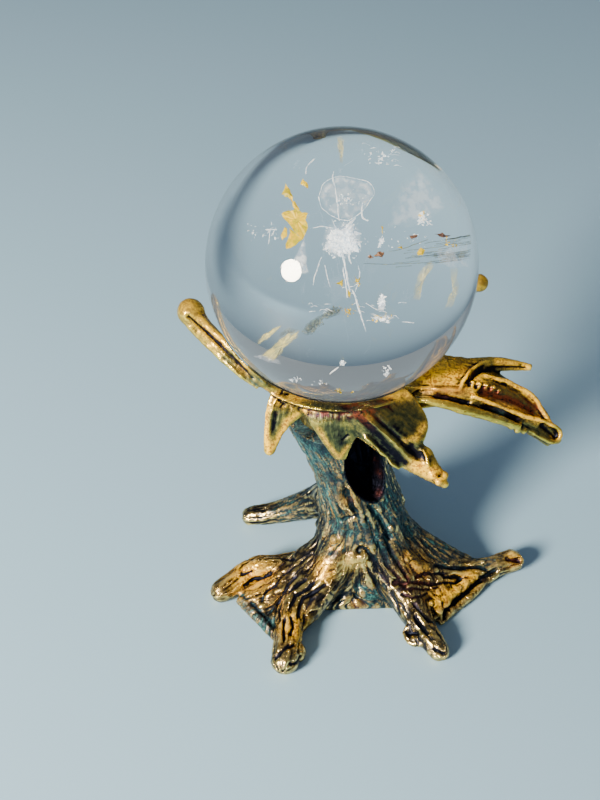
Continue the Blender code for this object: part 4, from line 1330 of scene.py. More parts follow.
    dark_bands: tuple[Band, ...] = (
        # This first band, along the left of the front leaf's midrib, is a shallow groove that also carries
        # painted shade on the half of the leaf that turns away from the light.
        (1.25, 0.45, ((-6.6, -16.3, 61.6), (-3.9, -17.4, 59.6), (-1.3, -18.4, 56.9), (1.7, -19.4, 53.7),
                      (4.5, -20.3, 51))),
        (0.6, 0.35,
         ((-2.4, -16.7, 61.4), (0, -17.7, 58.9), (2.3, -18.6, 56.8), (4.6, -19.5, 54.9), (5.9, -20.1, 53.4))),
        (1.3, 0.8, ((5.6, -19.8, 54.2), (7, -20.4, 52.8))),
        (0.3, 0.4, ((-6, -17.2, 55.3), (-6.9, -17.2, 54))),
        (0.85, 0.6, ((18.9, -10.7, 60.3), (22.4, -10.6, 59.2), (26, -10.6, 57.9), (29.4, -10.9, 56.2))),
        (0.5, 0.5, ((16.9, -9.8, 61.4), (17.6, -8, 62), (19.6, -6, 61.9), (22.2, -4.9, 61.6),
                    (26, -4.4, 61.2), (28, -4.4, 60.8))),
        (0.55, 0.6, ((5.4, -12.4, 60.8), (8.4, -11.7, 60.3), (12.4, -11.8, 60), (16.4, -12.4, 59))),
        (0.5, 0.6, ((19.4, -12.6, 58.2), (21.6, -12.5, 57.6), (23.7, -12.6, 56.8), (25.8, -12.8, 55.3))),
        (0.6, 0.6, ((30.9, -12.5, 53.2), (32.6, -12.7, 52.1), (33.6, -12.9, 51.3))),
        (0.7, 0.2, ((-19.2, -13.8, 57.6), (-20, -14.4, 54.2))),
        (0.18, 0.2, ((-20.5, -12.7, 59.5), (-19, -11.5, 62.1))),
        (0.18, 0.2, ((-19.6, -13.2, 58.9), (-18.1, -11.8, 61.7))),
        (0.18, 0.2, ((-18.6, -13.4, 58.9), (-17.2, -12.6, 61.7))),
        (0.18, 0.2, ((-20.4, -12, 61.2), (-17.8, -13.4, 59.2))),
        (0.35, 0.4, ((-35.2, -4.6, 73.6), (-32.6, -6, 71.4), (-29.4, -7.8, 69), (-26.4, -10, 66.6),
                     (-23.6, -11.4, 64.4))))
    tones: tuple[tuple[Tone, tuple[Band, ...]], ...] = (
        (Tone.GILT, (
            (4.6, 1, ((9.5, -8.5, 62.8), (16.8, -8.5, 63))), (1.8, 1, ((18.6, -7.2, 62),)),
            (1.1, 1, ((20, -7.4, 61.4), (23.9, -7.4, 60.2), (26.8, -7.7, 58.8), (29.3, -8.5, 57.4),
                      (31, -10, 55.6), (32.6, -11.6, 53.6))),
            (1, 1, ((17.2, -11.4, 60.4), (20.4, -11.8, 59.1), (24, -12, 57.5), (27.4, -12.1, 56),
                    (30.4, -12, 54.7))),
            (1, 0.8, ((22.6, -3.8, 62.2), (28.6, -3.8, 61))), (1.2, 0.7, ((34.4, -12.6, 51.2),)),
            (2.2, 1, ((-15.6, -13.6, 60.6), (-13, -12.4, 60.6))), (2.2, 0.7, ((-18.8, -12.8, 60.4),)),
            (0.8, 1, ((-21.2, -12.4, 61.6), (-21.3, -13.3, 56.9), (-21.3, -14.6, 52), (-20.7, -15.1, 49.4))),
            (0.8, 0.9, ((-14.4, -14, 58.6), (-17.3, -14, 55.9), (-19.2, -14.6, 51.6))),
            (2, 0.8, ((-20.4, -15, 50.4),)), (1.8, 0.85, ((-11.4, -12.6, 60.2), (-4.4, -13.4, 60))),
            (1.6, 0.85, ((1.6, -13.4, 61.4), (4.6, -12.6, 61.4))), (1, 0.6, ((-2.4, -17.6, 59.8),)),
            (0.6, 0.6, ((-11.4, -16.4, 56), (-9.4, -16.9, 52.1), (-7.5, -17, 49.6), (-6, -17.2, 52.4))),
            (2, 1, ((7, -21, 50.6), (10.8, -21.8, 49))), (1, 0.9, ((8.2, -20, 53),)),
            (0.9, 0.6, ((4.6, -19, 55.3), (6.6, -18.6, 55.8), (7.9, -16.8, 57.4))),
            (2.6, 0.7, ((-35.2, -3.2, 74.2), (-30, -7, 70))), (1.8, 0.5, ((-25, -10.4, 66.2),)),
            (3, 0.7, ((20, 8.8, 71.8),)), (9, 0.7, ((-7.3, 1.9, 54.4),)))),
        (Tone.GROOVE_AND_SHADE, (
            (1.8, 0.7, ((-12.9, -14.9, 58.8), (-9.4, -15.8, 59), (-6, -16.4, 59))),
            (2.8, 0.6, ((-8.6, -16.4, 56.6), (-7.4, -16.8, 53.4))),
            (1.1, 0.62, ((19.1, -11, 60.1), (22.5, -11, 59), (26, -10.9, 57.7), (29.4, -11.1, 56.1))),
            (0.8, 0.7, ((17.4, -12.6, 58.9), (21.6, -12.7, 57.6), (26, -13, 55.2))),
            (1.8, 0.58, ((-18.9, -13.4, 58.6), (-19.9, -14.4, 54))), (0.8, 0.6, ((-18.8, -12.8, 60.4),)),
            (1, 0.7, ((20.6, -5.4, 61.9), (27, -4.4, 61.3))),
            (1, 0.65, ((1.6, -17.2, 58.4), (4.4, -18.4, 56.4))),
            (2.4, 0.52, ((3.4, -15.6, 60), (5, -17.4, 57.6))),
            # Painted highlight: takes the dark away along the right leaf's lower bead so that it shows bright
            # gold.
            (0.9, -0.7, ((8, -12.9, 59.6), (13.6, -13.7, 58.6), (20.4, -14.1, 56.4), (26, -13.9, 53.6))))),
        (Tone.BLUSH, (
            (1.9, 0.5, ((-10.4, -13.6, 60.4), (-7.4, -14.6, 61))),
            (1.9, 0.95, ((-4.4, -15.8, 61.4), (-2.6, -16.6, 60.6))), (1.6, 0.6, ((0.6, -14.6, 61.8),)),
            (1.4, 1, ((20.4, -10.8, 59.8), (25, -10.6, 58.2), (29.4, -10.8, 56.4))),
            (1, 0.7, ((6.4, -11.2, 61.4), (15, -11, 61))), (1.2, 0.4, ((16.6, -7.6, 62.6),)))),
        (Tone.PATINA, (
            (1.4, 0.7, ((22.6, -12.9, 57.2),)), (1.6, 0.7, ((7.2, -12.6, 60),)),
            (6, 0.8, ((-7, -6, 47.5), (-7, 8, 47.5))), (2, 0.6, ((-23, -11.5, 62.6),)))))
    band_dark: float = 0.74
    pits: Line = (
        (17.9, -10.1, 61.2), (19.3, -10.1, 60.8), (20.7, -10.1, 60.4), (21.9, -10.3, 60), (13.9, -13.2, 58.2),
        (17.3, -13.6, 57.2), (20.7, -13.7, 56), (23.9, -13.6, 54.8))
    pit_size: Span = (0.5, 0.5)
    voxel: float = 0.27

    def surface(self, leaf: Leaf) -> list[list[Vector]]:
        """Lay out a leaf's middle surface.

        Args:
            leaf: The leaf.

        Returns:
            Rows of places in metres, edge to edge, from its base to its tip.
        """
        look = 0.02
        grid = []
        for step in range(self.steps + 1):
            position = step / self.steps
            station = along(leaf.stations, position)
            rib = metres(station)
            halves = []
            for (base, tip), width, curl in zip((leaf.left, leaf.right), station[3:], leaf.curl):
                halves.append((Vector(base).lerp(Vector(tip), position).normalized(), width * MM, curl * MM))
            ahead = metres(along(leaf.stations, min(position + look, 1.0)))
            behind = metres(along(leaf.stations, max(position - look, 0.0)))
            upward = (ahead - behind).cross(halves[0][0] - halves[1][0]).normalized()
            if upward.dot(Vector(self.skyward)) < 0:
                upward.negate()
            row = []
            for column in range(-self.half_columns, self.half_columns + 1):
                reach = abs(column) / self.half_columns
                direction, width, curl = halves[0] if column < 0 else halves[1]
                row.append(rib + direction * width * reach - upward * curl * reach ** 3)
            grid.append(row)
        return grid

    def add_leaf(self, form: Form, leaf: Leaf, sweeper: SweepTree, finish: Material) -> None:
        """Add a leaf as a sheet with a raised edge, midrib and side veins.

        Args:
            form: The cradle's form.
            leaf: The leaf.
            sweeper: The tree that sweeps its lines.
            finish: The material.
        """
        grid = self.surface(leaf)
        sheet = bmesh.new()
        places = [[sheet.verts.new(place) for place in row] for row in grid]
        for lower, upper in zip(places, places[1:]):
            for index in range(len(lower) - 1):
                sheet.faces.new((lower[index], lower[index + 1], upper[index + 1], upper[index]))
        carrier = new_carrier("leaf", mesh_of(sheet, "leaf"))
        thicken = carrier.modifiers.new("thicken", "SOLIDIFY")
        thicken.thickness = self.sheet * MM
        thicken.offset = 0.0
        form.add_mesh(finished_mesh(carrier))
        lines = self.leaf_lines(leaf, grid)
        form.add_mesh(sweeper.sweep(lines, finish, step=0.5, sides=8, waver=0.35, length=3.0, seed=5))

    def leaf_lines(self, leaf: Leaf, grid: list[list[Vector]]) -> list[list[Row]]:
        """Lay a leaf's raised lines.

        Args:
            leaf: The leaf.
            grid: Its middle surface.

        Returns:
            Both edges, the midrib and the side veins, as rows of place and radius.
        """
        lift = Vector(self.skyward).normalized() * self.sheet / 2
        last, middle, stride = self.steps, self.half_columns, 4

        def on_leaf(step: int, column: int, radius: float, raised: float = 1.0) -> Row:
            """Give a row on the leaf's upper face."""
            return (*(grid[step][column] / MM + lift * raised), radius)

        lines = [[on_leaf(step, column, leaf.edge, 0.5) for step in range(0, last + 1, stride)]
                 for column in (0, 2 * middle)]
        if leaf.rib:
            lines.append([on_leaf(step, middle, leaf.rib) for step in range(0, last + 1, stride)])
        lowest, spread = self.vein_starts
        for number in range(leaf.veins):
            start = int(last * (lowest + spread * number / leaf.veins))
            for side in (-1, 1):
                lines.append([on_leaf(min(start + int(self.vein_run * last * part), last),
                                      middle + int(side * middle * part), self.vein_radius)
                              for part in self.vein_places])
        return lines

    def cup(self) -> Part:
        """Make the lens-shaped blank of the cup, cut off at its tilted rim."""
        blank = bmesh.new()
        bmesh.ops.create_uvsphere(blank, u_segments=96, v_segments=64, matrix=at(BALL_MIDDLE),
                                  radius=(BALL_RADIUS + self.gap + self.cup_wall) * MM)
        tilt = math.radians(self.cup_tilt)
        rim = metres(BALL_MIDDLE) - Vector((0.0, 0.0, self.cup_drop * MM))
        cut = bmesh.ops.bisect_plane(blank, geom=blank.verts[:] + blank.edges[:] + blank.faces[:],
                                     plane_co=rim, plane_no=Vector((0.0, math.sin(tilt), math.cos(tilt))),
                                     clear_outer=True)
        bmesh.ops.holes_fill(blank, edges=[item for item in cut["geom_cut"]
                                           if isinstance(item, bmesh.types.BMEdge)])
        return blank

    def crevices(self) -> list[Mark]:
        """List the dark bands and pits that are worked into the leaves."""
        marks = [Mark(place, place, *self.pit_size) for place in self.pits]
        for reach, depth, places in self.dark_bands:
            marks.extend(marks_along(places, reach, depth, self.band_dark))
        return marks

    def build(self, sweeper: SweepTree, finish: Material) -> None:
        """Build the cradle.

        Args:
            sweeper: The tree that sweeps its twigs and lines.
            finish: The cradle's material.
        """
        form = Form("cradle_casting")
        twigs = [self.left_twig, self.right_twig]
        form.add_mesh(mesh_of(self.cup(), "cup", outward=True))
        form.add_mesh(sweeper.sweep([self.neck, *self.spurs], finish, step=0.6, sides=28))
        form.add_mesh(sweeper.sweep(twigs, finish, step=0.5, sides=16, waver=0.5, length=3.5, seed=2))
        form.add_mesh(sweeper.sweep(self.twig_bark, finish, step=0.4, waver=0.7, length=2.5, seed=9))
        form.add_mesh(sweeper.sweep(self.raised_lines, finish, step=0.4, waver=0.5, length=1.8, seed=4))
        ends = [(*twig[-1][:3], radius) for twig, radius in zip(twigs, self.twig_knobs)]
        form.add_knobs([*ends, *self.tips, *self.beads])
        for leaf in self.leaves:
            self.add_leaf(form, leaf, sweeper, finish)
        seat = bmesh.new()
        bmesh.ops.create_uvsphere(seat, u_segments=128, v_segments=96, matrix=at(BALL_MIDDLE),
                                  radius=(BALL_RADIUS + self.gap) * MM)
        trimmed = [form.new_cutter("seat_cutter", seat), form.block("below_cutter", -30.0, self.bottom)]
        skin = Skin(form.fused(self.voxel, [], trimmed))
        skin.carve(self.crevices(), self.skyward)
        flow = twigs + [[(*row[:3], 1.0) for row in leaf.stations] for leaf in self.leaves]
        skin.grow_bark(flow, Bark(height=0.035, size=0.8, stretch=5.0))
        skin.roughen(0.05, 1.2)
        skin.keep_between(self.bottom)
        skin.keep_outside(BALL_MIDDLE, BALL_RADIUS + self.gap - 0.05)
        skin.read_grooves(0.20, 0.9)
        for tone, bands in self.tones:
            skin.tint(tone, bands)
        settle(skin.finished("cradle_casting", finish), "leaf_cradle", covers=True)


@dataclass(frozen=True)
class Cloud:
    """A cloud of shards in the crystal, placed from the ball's middle and tipped."""

    place: Place
    half_size: Place
    count: int
    shard: float
    thin: float = 0.15
    tip: float = 0.0


@dataclass(frozen=True)
class Veil:
    """A thin soft-edged sheet in the crystal, by its outline; a rimmed one is strongest near its edge."""

    outline: Line
    strength: float = 1.0
    rimmed: float = 0.0


@dataclass
class CrystalBall:
    """The polished ball and what is sealed in it, placed from the ball's middle."""

    frost_clouds: tuple[Cloud, ...] = (
        Cloud((0.3, 0.2, 4), (1.9, 1, 1.8), 34, 1.0, 0.06), Cloud((0.1, 0, 3.8), (2.2, 1.2, 2), 120, 0.5),
        Cloud((-0.8, -0.6, 3), (1.5, 1, 1.2), 90, 0.4), Cloud((0.1, 0.2, 3.8), (3.2, 1.8, 3), 110, 0.2),
        Cloud((0.6, 2.4, 8.4), (3.2, 1.6, 1.2), 60, 0.16), Cloud((4.8, 1.9, 2.3), (0.3, 0.3, 0.8), 16, 0.3),
        Cloud((9.8, 4.8, 3.4), (0.9, 0.5, 1), 26, 0.28), Cloud((4.8, 8, 10.4), (2.4, 1.6, 0.7), 34, 0.26),
        Cloud((-8.4, 3.7, 2.3), (1.2, 0.9, 1.4), 26, 0.22),
        Cloud((-10.2, 4.6, 1.8), (1.2, 1.2, 1.2), 16, 0.16),
        Cloud((4.9, -1.9, -3.8), (0.45, 0.4, 1.1), 60, 0.26),
        Cloud((4.9, -2.7, -5.8), (1.5, 0.5, 0.4), 50, 0.22),
        Cloud((0.4, -2, -11.9), (0.3, 0.2, 0.3), 8, 0.34), Cloud((5.3, -1, -12.9), (0.7, 0.4, 0.7), 14, 0.3),
        Cloud((-4.3, -0.2, -14.2), (0.8, 0.3, 0.3), 10, 0.24),
        Cloud((-2, -0.6, -14.5), (1.2, 0.3, 0.3), 12, 0.14), Cloud((8, 3, 2), (4.5, 2.4, 1.6), 30, 0.14))
    gold_clouds: tuple[Cloud, ...] = (
        Cloud((2, -1, -1.6), (0.4, 0.4, 0.6), 8, 0.3), Cloud((9.6, 5, 3.6), (0.3, 0.4, 1), 10, 0.3),
        Cloud((0.6, 0.4, -15.5), (1.2, 0.2, 0.2), 12, 0.24), Cloud((12.6, 4.6, 0.2), (1.4, 1, 0.6), 14, 0.2),
        Cloud((1, -2.4, -4.9), (1.6, 0.8, 1), 22, 0.24), Cloud((5, -2.6, -5.6), (1.6, 0.6, 0.6), 26, 0.2))
    smoke_clouds: tuple[Cloud, ...] = (
        Cloud((-3.2, -2.9, -6.6), (1.7, 0.3, 0.8), 130, 0.15, 0.3, -0.75),
        Cloud((-1.1, -2.6, -5.0), (1.5, 0.3, 0.55), 90, 0.14, 0.3, -0.60))
    gold_flakes: tuple[Line, ...] = (
        ((-6.4, 7.8, 6.4), (-7, 6.8, 5.6), (-6.3, 6.2, 5.5), (-5.6, 5.5, 5.3), (-5.8, 6.4, 5.8),
         (-6.1, 7.1, 6.2)),
        ((-4.4, 7.7, 7), (-4.8, 7.3, 6.7), (-4.2, 6.8, 6.6), (-3.8, 6.5, 6.5), (-4, 7.2, 6.9)),
        ((-5.8, 5.7, 5.3), (-5.4, 5.6, 5.4), (-4.9, 4.6, 4.7), (-5.6, 4.6, 4.6)),
        ((-6, 4.9, 4.6), (-5.2, 4.7, 4.8), (-3.9, 4.3, 4.7), (-4.3, 3.7, 4.1), (-4, 3.1, 3.4),
         (-4.7, 2.3, 2.3), (-6, 3.5, 3.2), (-6.5, 4.2, 3.7), (-7.1, 4.9, 4.1)),
        ((-6, 3.5, 3.2), (-4.7, 2.3, 2.3), (-5.8, 2, 1.5), (-6.7, 2, 1.2), (-6.3, 2.8, 2.3)),
        ((-6.7, 3.7, 3.1), (-7.2, 3.1, 2.3), (-7, 2.7, 1.9), (-6.5, 2.9, 2.4), (-6.4, 3.5, 3)),
        ((-0.6, -1.1, -1.8), (0.2, -0.8, -1.3), (0.2, -1.3, -2.1)),
        ((0.7, -1.4, -2.4), (1.1, -1.6, -2.7), (1.1, -2, -3.4), (0.9, -1.9, -3.2)),
        ((9, 1.8, 0.8), (9.5, 2.3, 1), (10, 2.3, 0.7), (9.7, 1.9, 0.3), (9.1, 1.6, 0.4)),
        ((6.7, 1.6, 1.5), (7.2, 1.9, 1.7), (7.4, 1.7, 1.3)), ((4.7, 3.1, 3.7), (5, 3, 3.6), (4.9, 2.4, 2.9)))
    brown_flakes: tuple[Line, ...] = (
        ((8, 2.8, 2.5), (9.1, 3.2, 2.4), (9, 2.9, 2.1), (8.4, 2.6, 2.1)),
        ((10.8, 4, 1.9), (11.8, 4.6, 1.5), (12.6, 5, 0.8), (11.8, 4.2, 1.2)),
        ((3.1, 0.6, 0.9), (3.5, 0.8, 1.1), (3.9, 0.6, 0.8), (3.4, 0.5, 0.7)),
        ((3.9, 0.7, 0.9), (4.4, 1, 1.3), (5.2, 1.1, 1.3), (4.9, 0.7, 0.8)))
    ring_rim: Line = (
        (-3, 2.7, 8.5), (-2.5, 1.5, 7.6), (-1.1, 0.6, 6.9), (0.8, 0.3, 6.7), (2.6, 1.2, 7.5), (3.5, 2.2, 8.3),
        (4, 3.2, 8.9), (3.3, 4.2, 9.6), (1.5, 4.6, 10), (-0.8, 4.8, 10.1), (-2.3, 4.1, 9.5))
    white_veils: tuple[Veil, ...] = (
        Veil(((2.4, 0.2, 4.1), (1.8, 1.2, 5.4), (0.3, 1.6, 5.9), (-1.5, 1.2, 5.2), (-2.5, 0.2, 3.7),
              (-1.6, -0.9, 2.4), (0.3, -1.3, 2), (1.9, -0.8, 2.6)), 0.55),
        # A frosted patch beside the lamp's reflection; with its painted glow it also stands in for the halo
        # round that highlight.
        Veil(((-5.1, -3.5, 6.8), (-6.2, -4.4, 5), (-7.6, -5.5, 3), (-6.6, -6.2, 2.3), (-4.6, -6.4, 3),
              (-4.9, -4.6, 5.2)), 0.7),
        Veil(((5.6, 1.9, 4.2), (6.7, 5, 7.6), (9.1, 8.9, 7.6), (12, 7, 5.6), (12.2, 5, 4.3), (9, 3, 3.6)),
             0.3),
        Veil(((11.4, 3.1, 0.4), (12.4, 4.1, 0.3), (13.8, 6.7, -1.5), (13.9, 6.4, -2.8), (14, 5.4, -3.8),
              (13.1, 3, -2.2), (11.1, 1.7, -1)), 0.35),
        Veil(((-9.4, 0.8, -12.1), (-8.7, 0, -11.6), (-7, -1.8, -11.6), (-6.8, -2.1, -12.1),
              (-8, -1.2, -12.2)), 0.7),
        Veil(((4.8, -1.5, -2.9), (5.4, -2, -3.8), (5.2, -2.5, -4.8), (4.5, -2.4, -4.8), (4.4, -1.9, -3.7))),
        Veil(((3.3, -2.3, -5.3), (5, -2.5, -5.2), (6.6, -2.3, -5.9), (5, -2.9, -6.2)), 0.5))
    pale_gold_veils: tuple[Veil, ...] = (
        Veil(((-9.5, -0.8, -10.1), (-9.4, -1, -9.4), (-8.7, -1.5, -8.3), (-8, -1.8, -7.5), (-6.9, -2.1, -6.8),
              (-7.2, -2.1, -7.4), (-8, -1.9, -8.3), (-8.6, -1.5, -9.3)), 0.9),
        Veil(((-9, -0.4, -11.9), (-8.1, -1.8, -10.2), (-7.3, -2.3, -8.8), (-6.3, -2.5, -7.9),
              (-4.9, -2.8, -7.3), (-5, -2.9, -8.1), (-5.9, -2.8, -9.1), (-6.6, -2.5, -9.9), (-7, -2.2, -11.2),
              (-7.6, -1.7, -12))),
        Veil(((-0.5, 10.6, 11.4), (-0.5, 8.1, 11.8), (-0.3, 5.8, 11.4), (0.1, 5.8, 11.4), (0.3, 8.1, 11.8),
              (0.3, 10.6, 11.4)), 0.6),
        Veil(((10.6, 1.8, -0.4), (11.1, 1.7, -1), (10.1, 0.6, -1.9), (9.6, -0.2, -3), (9.4, -0.8, -4.2),
              (8.6, -1.1, -3.9), (8.8, -0.3, -2.5), (9.3, 0.6, -1.2)), 0.5),
        Veil(((12.9, 2.8, -2.1), (13.4, 3.4, -2.5), (13.4, 2.7, -4.3), (13.1, 2, -5.4), (12.6, 1, -6.4),
              (12.1, 0.5, -6.2), (12.4, 1, -5.3), (12.8, 1.7, -4.2)), 0.5))
    smoke_veils: tuple[Veil, ...] = (
        Veil(((-4.5, -3, -7.6), (-4.3, -2.8, -6.6), (-3.8, -2.7, -6), (-2.7, -2.7, -5.4), (-1.8, -2.7, -5.1),
              (-2, -2.9, -6), (-2.7, -3, -6.8), (-3.4, -3.2, -7.7), (-4, -3.2, -8))),
        Veil(((-2.6, -2.8, -5.8), (-1.8, -2.5, -4.8), (-1, -2.3, -4.2), (0.2, -2.5, -4.4), (-0.1, -2.7, -5.2),
              (-1.1, -2.8, -5.6), (-1.8, -2.9, -5.9)), 0.7),
        Veil(((-7.3, -2.3, -8.7), (-7.1, -2.2, -7.9), (-6.2, -2.4, -7.1), (-5.1, -2.7, -7.2),
              (-5.7, -2.6, -7.8), (-6.7, -2.4, -8.2)), 0.7))
    wisp_clouds: tuple[tuple[Place, Place], ...] = (
        ((-2.6, -2.4, -4.7), (2.4, 0.5, 0.8)), ((5, -2.3, -5.2), (2.2, 0.6, 1.2)),
        ((4.6, 8.2, 10.4), (2.4, 1.6, 0.7)), ((0.6, -1.6, -3.4), (1.6, 0.5, 1.8)))
    needle_rows: Runs = (
        ((-1, 6.1, 9.7, 0.05), (-1.2, 5.3, 9.3, 0.13), (-0.8, 4, 8.6, 0.08), (-0.6, 2.6, 7.6, 0.12),
         (-0.4, 1.1, 6.1, 0.06)),
        ((2.6, 3, 7.3, 0.04), (2.5, 2.3, 6.6, 0.13), (2.6, 1.7, 6, 0.15), (3.2, 1.4, 5.7, 0.12)),
        ((0.1, 0.9, 1.4, 0.18), (0.4, 0.1, 0.2, 0.15), (0.7, -0.6, -0.9, 0.18), (1, -1.6, -2.7, 0.1)),
        ((0.2, -0.1, -0.1, 0.08), (0.5, -1, -1.7, 0.1), (0.7, -1.9, -3.3, 0.05)),
        ((0.9, 0.8, 1.2, 0.12), (1, 0.5, 0.7, 0.14), (1.2, 0.1, 0.2, 0.05)),
        ((2, 0, 0.1, 0.05), (2.2, -0.7, -1.1, 0.07), (1.7, -1.6, -2.7, 0.06)),
        ((1.4, -1.5, -2.5, 0.1), (1.9, -2.1, -3.7, 0.16), (2.4, -2.7, -5.2, 0.14), (3, -3.4, -7.1, 0.03)),
        ((-2.4, 0.8, 0.8, 0.05), (-2.9, 0, -0.4, 0.1), (-3.4, -0.9, -2.1, 0.04)),
        ((-2, 0.1, 0, 0.04), (-1.7, -0.5, -1, 0.06), (-1.3, -1.2, -2.2, 0.03)),
        ((-1, 2.8, 3.6, 0.06), (-2.3, 3, 3.6, 0.08), (-3.4, 3, 3.5, 0.03)),
        ((4.9, 2.3, 2.8, 0.04), (4.7, 1.8, 2.2, 0.13), (4.7, 1.4, 1.7, 0.08)),
        ((9.4, 4.8, 3.7, 0.12), (10, 4.6, 3.2, 0.1), (10.7, 4.6, 2.6, 0.05)),
        ((-3.1, 8.5, 9.7, 0.08), (-3.7, 8, 9.5, 0.12), (-4.1, 7.5, 9.3, 0.06), (-4.3, 6.6, 8.9, 0.12)),
        ((-8.9, 4.1, 2.5, 0.08), (-7.6, 3.7, 2.7, 0.1)), ((-8.4, 3.9, 2.5, 0.08), (-8.6, 2.9, 1.2, 0.04)),
        ((-1, -1.6, -13.3, 0.06), (-0.5, -1.7, -12.8, 0.12), (-0.1, -1.8, -12.4, 0.05)),
        ((3, -2.2, -3.9, 0.04), (4.5, -2.4, -4.8, 0.06)), ((3.9, -2.8, -5.6, 0.05), (5.9, -2.6, -6, 0.05)),
        ((7.4, -2.6, -6.2, 0.04), (8.2, -2.4, -6.4, 0.1), (8.8, -2.2, -6.6, 0.04)))
    level_lines: Runs = (
        ((2.7, 0.2, 0.2, 0.04), (5.9, 0.4, 0.0, 0.05), (10.5, 1.6, -0.6, 0.03)),
        ((5.7, 1.2, 1.2, 0.03), (8.1, 2.0, 1.4, 0.06), (10.2, 3.2, 1.6, 0.04)))
    wisps_a_cloud: int = 8
    level_count: int = 44
    veil_rings: int = 10
    veil_steps: int = 4
    veil_wave: float = 0.18
    rim_place: float = 0.84
    rim_width: float = 0.10
    flake_rags: float = 0.10
    flake_corners: Place = (0.0, 0.4, 0.7)
    flake_lift: float = 0.14
    needle_girth: float = 0.72

    @staticmethod
    def piece(name: str, body: Part, finish: Material) -> Item:
        """Turn a body into a piece."""
        mesh = mesh_of(body, name)
        mesh.materials.append(finish)
        return new_carrier(name, mesh)

    def shell(self, finish: Material) -> Item:
        """Make the ball's smooth skin."""
        body = bmesh.new()
        bmesh.ops.create_icosphere(body, subdivisions=7, radius=BALL_RADIUS * MM, matrix=at(BALL_MIDDLE))
        shell = self.piece("crystal_ball", body, finish)
        shell.data.shade_smooth()
        return shell

    def clouds(self, name: str, clouds: Sequence[Cloud], scatterer: ScatterTree, finish: Material) -> Item:
        """Make one piece from clouds of shards.

        Args:
            name: The piece's name.
            clouds: The clouds.
            scatterer: The tree that scatters shards.
            finish: The material.

        Returns:
            The piece.
        """
        body = bmesh.new()
        for number, cloud in enumerate(clouds):
            mesh = scatterer.run(bpy.data.meshes.new("cloud"), Count=cloud.count, Shard=cloud.shard * MM,
                                 Reach=tuple(size * MM for size in cloud.half_size), Thin=cloud.thin,
                                 Seed=7 * number, Finish=finish)
            place = Matrix.Translation(metres(BALL_MIDDLE) + metres(cloud.place))
            mesh.transform(place @ Matrix.Rotation(cloud.tip, 4, "Y"))
            body.from_mesh(mesh)
            bpy.data.meshes.remove(mesh)
        return self.piece(name, body, finish)

    @staticmethod
    def facing_of(edge: Sequence[Vector]) -> tuple[Vector, Vector]:
        """Give the middle of an outline and the direction that it faces."""
        middle = sum(edge, Vector()) / len(edge)
        return middle, (edge[0] - middle).cross(edge[len(edge) // 4] - middle).normalized()

    def flakes(self, name: str, outlines: Sequence[Line], finish: Material) -> Item:
        """Make thin crumpled flakes.

        Args:
            name: The piece's name.
            outlines: The edge of each flake, from the ball's middle.
            finish: The material.

        Returns:
            The piece.
        """
        body = bmesh.new()
        chance = random.Random(9)
        for outline in outlines:
            edge = []
            for start, end in zip(outline, outline[1:] + outline[:1]):
                side = Vector(end) - Vector(start)
                for share in self.flake_corners:
                    rag = Vector([chance.uniform(-1.0, 1.0) for _ in range(3)])
                    corner = Vector(start) + side * share + self.flake_rags * side.length * rag
                    edge.append(metres(BALL_MIDDLE) + metres(corner))
            middle, facing = self.facing_of(edge)
            ring = [body.verts.new(place) for place in edge]
            for lift in (self.flake_lift, -self.flake_lift):
                crest = body.verts.new(middle + facing * lift * MM)
                for start, end in zip(ring, ring[1:] + ring[:1]):
                    body.faces.new((start, end, crest) if lift > 0 else (end, start, crest))
        bmesh.ops.recalc_face_normals(body, faces=body.faces)
        return self.piece(name, body, finish)

    def veils(self, name: str, veils: Sequence[Veil], finish: Material) -> Item:
        """Make thin sheets that fade to their edge.

        Args:
            name: The piece's name.
            veils: The sheets.
            finish: The material, which reads how far each point fades.

        Returns:
            The piece.
        """
        body = bmesh.new()
        fade = body.verts.layers.float.new("fade")
        for veil in veils:
            edge = [Vector(start).lerp(Vector(end), step / self.veil_steps)
                    for start, end in zip(veil.outline, veil.outline[1:] + veil.outline[:1])
                    for step in range(self.veil_steps)]
            middle, facing = self.facing_of(edge)
            rings = []
            for ring in range(self.veil_rings + 1):
                reach = ring / self.veil_rings
                near_rim = math.exp(-((reach - self.rim_place) / self.rim_width) ** 2)
                shade = veil.strength * (1.0 - reach ** 4) * (1.0 - veil.rimmed * (1.0 - near_rim))
                row = []
                for place in edge:
                    wave = facing * noise.noise(place * 0.9) * self.veil_wave * 4 * reach
                    uneven = 1.0 + self.veil_wave * noise.noise(place * 1.3)
                    spot = metres(middle + (place - middle) * reach * uneven + wave)
                    row.append(body.verts.new(metres(BALL_MIDDLE) + spot))
                    row[-1][fade] = shade
                rings.append(row)
            for inner, outer in zip(rings, rings[1:]):
                for index in range(len(edge)):
                    after = (index + 1) % len(edge)
                    body.faces.new((inner[index], outer[index], outer[after], inner[after]))
        bmesh.ops.remove_doubles(body, verts=body.verts, dist=1e-7)
        return self.piece(name, body, finish)

    def needles(self, name: str, paths: Sequence[Rows], sweeper: SweepTree, finish: Material,
                waver: float) -> Item:
        """Make fine needles or lines.

        Args:
            name: The piece's name.
            paths: The needles as rows of place and radius, from the ball's middle.
            sweeper: The tree that sweeps them.
            finish: The material.
            waver: How far they wander.

        Returns:
            The piece.
        """
        shifted = [[(*(part + middle for part, middle in zip(row, BALL_MIDDLE)), self.needle_girth * row[3])
                    for row in rows] for rows in paths]
        mesh = sweeper.sweep(shifted, finish, step=0.25, sides=5, waver=waver, length=1.1, seed=6)
        mesh.name = name
        return new_carrier(name, mesh)

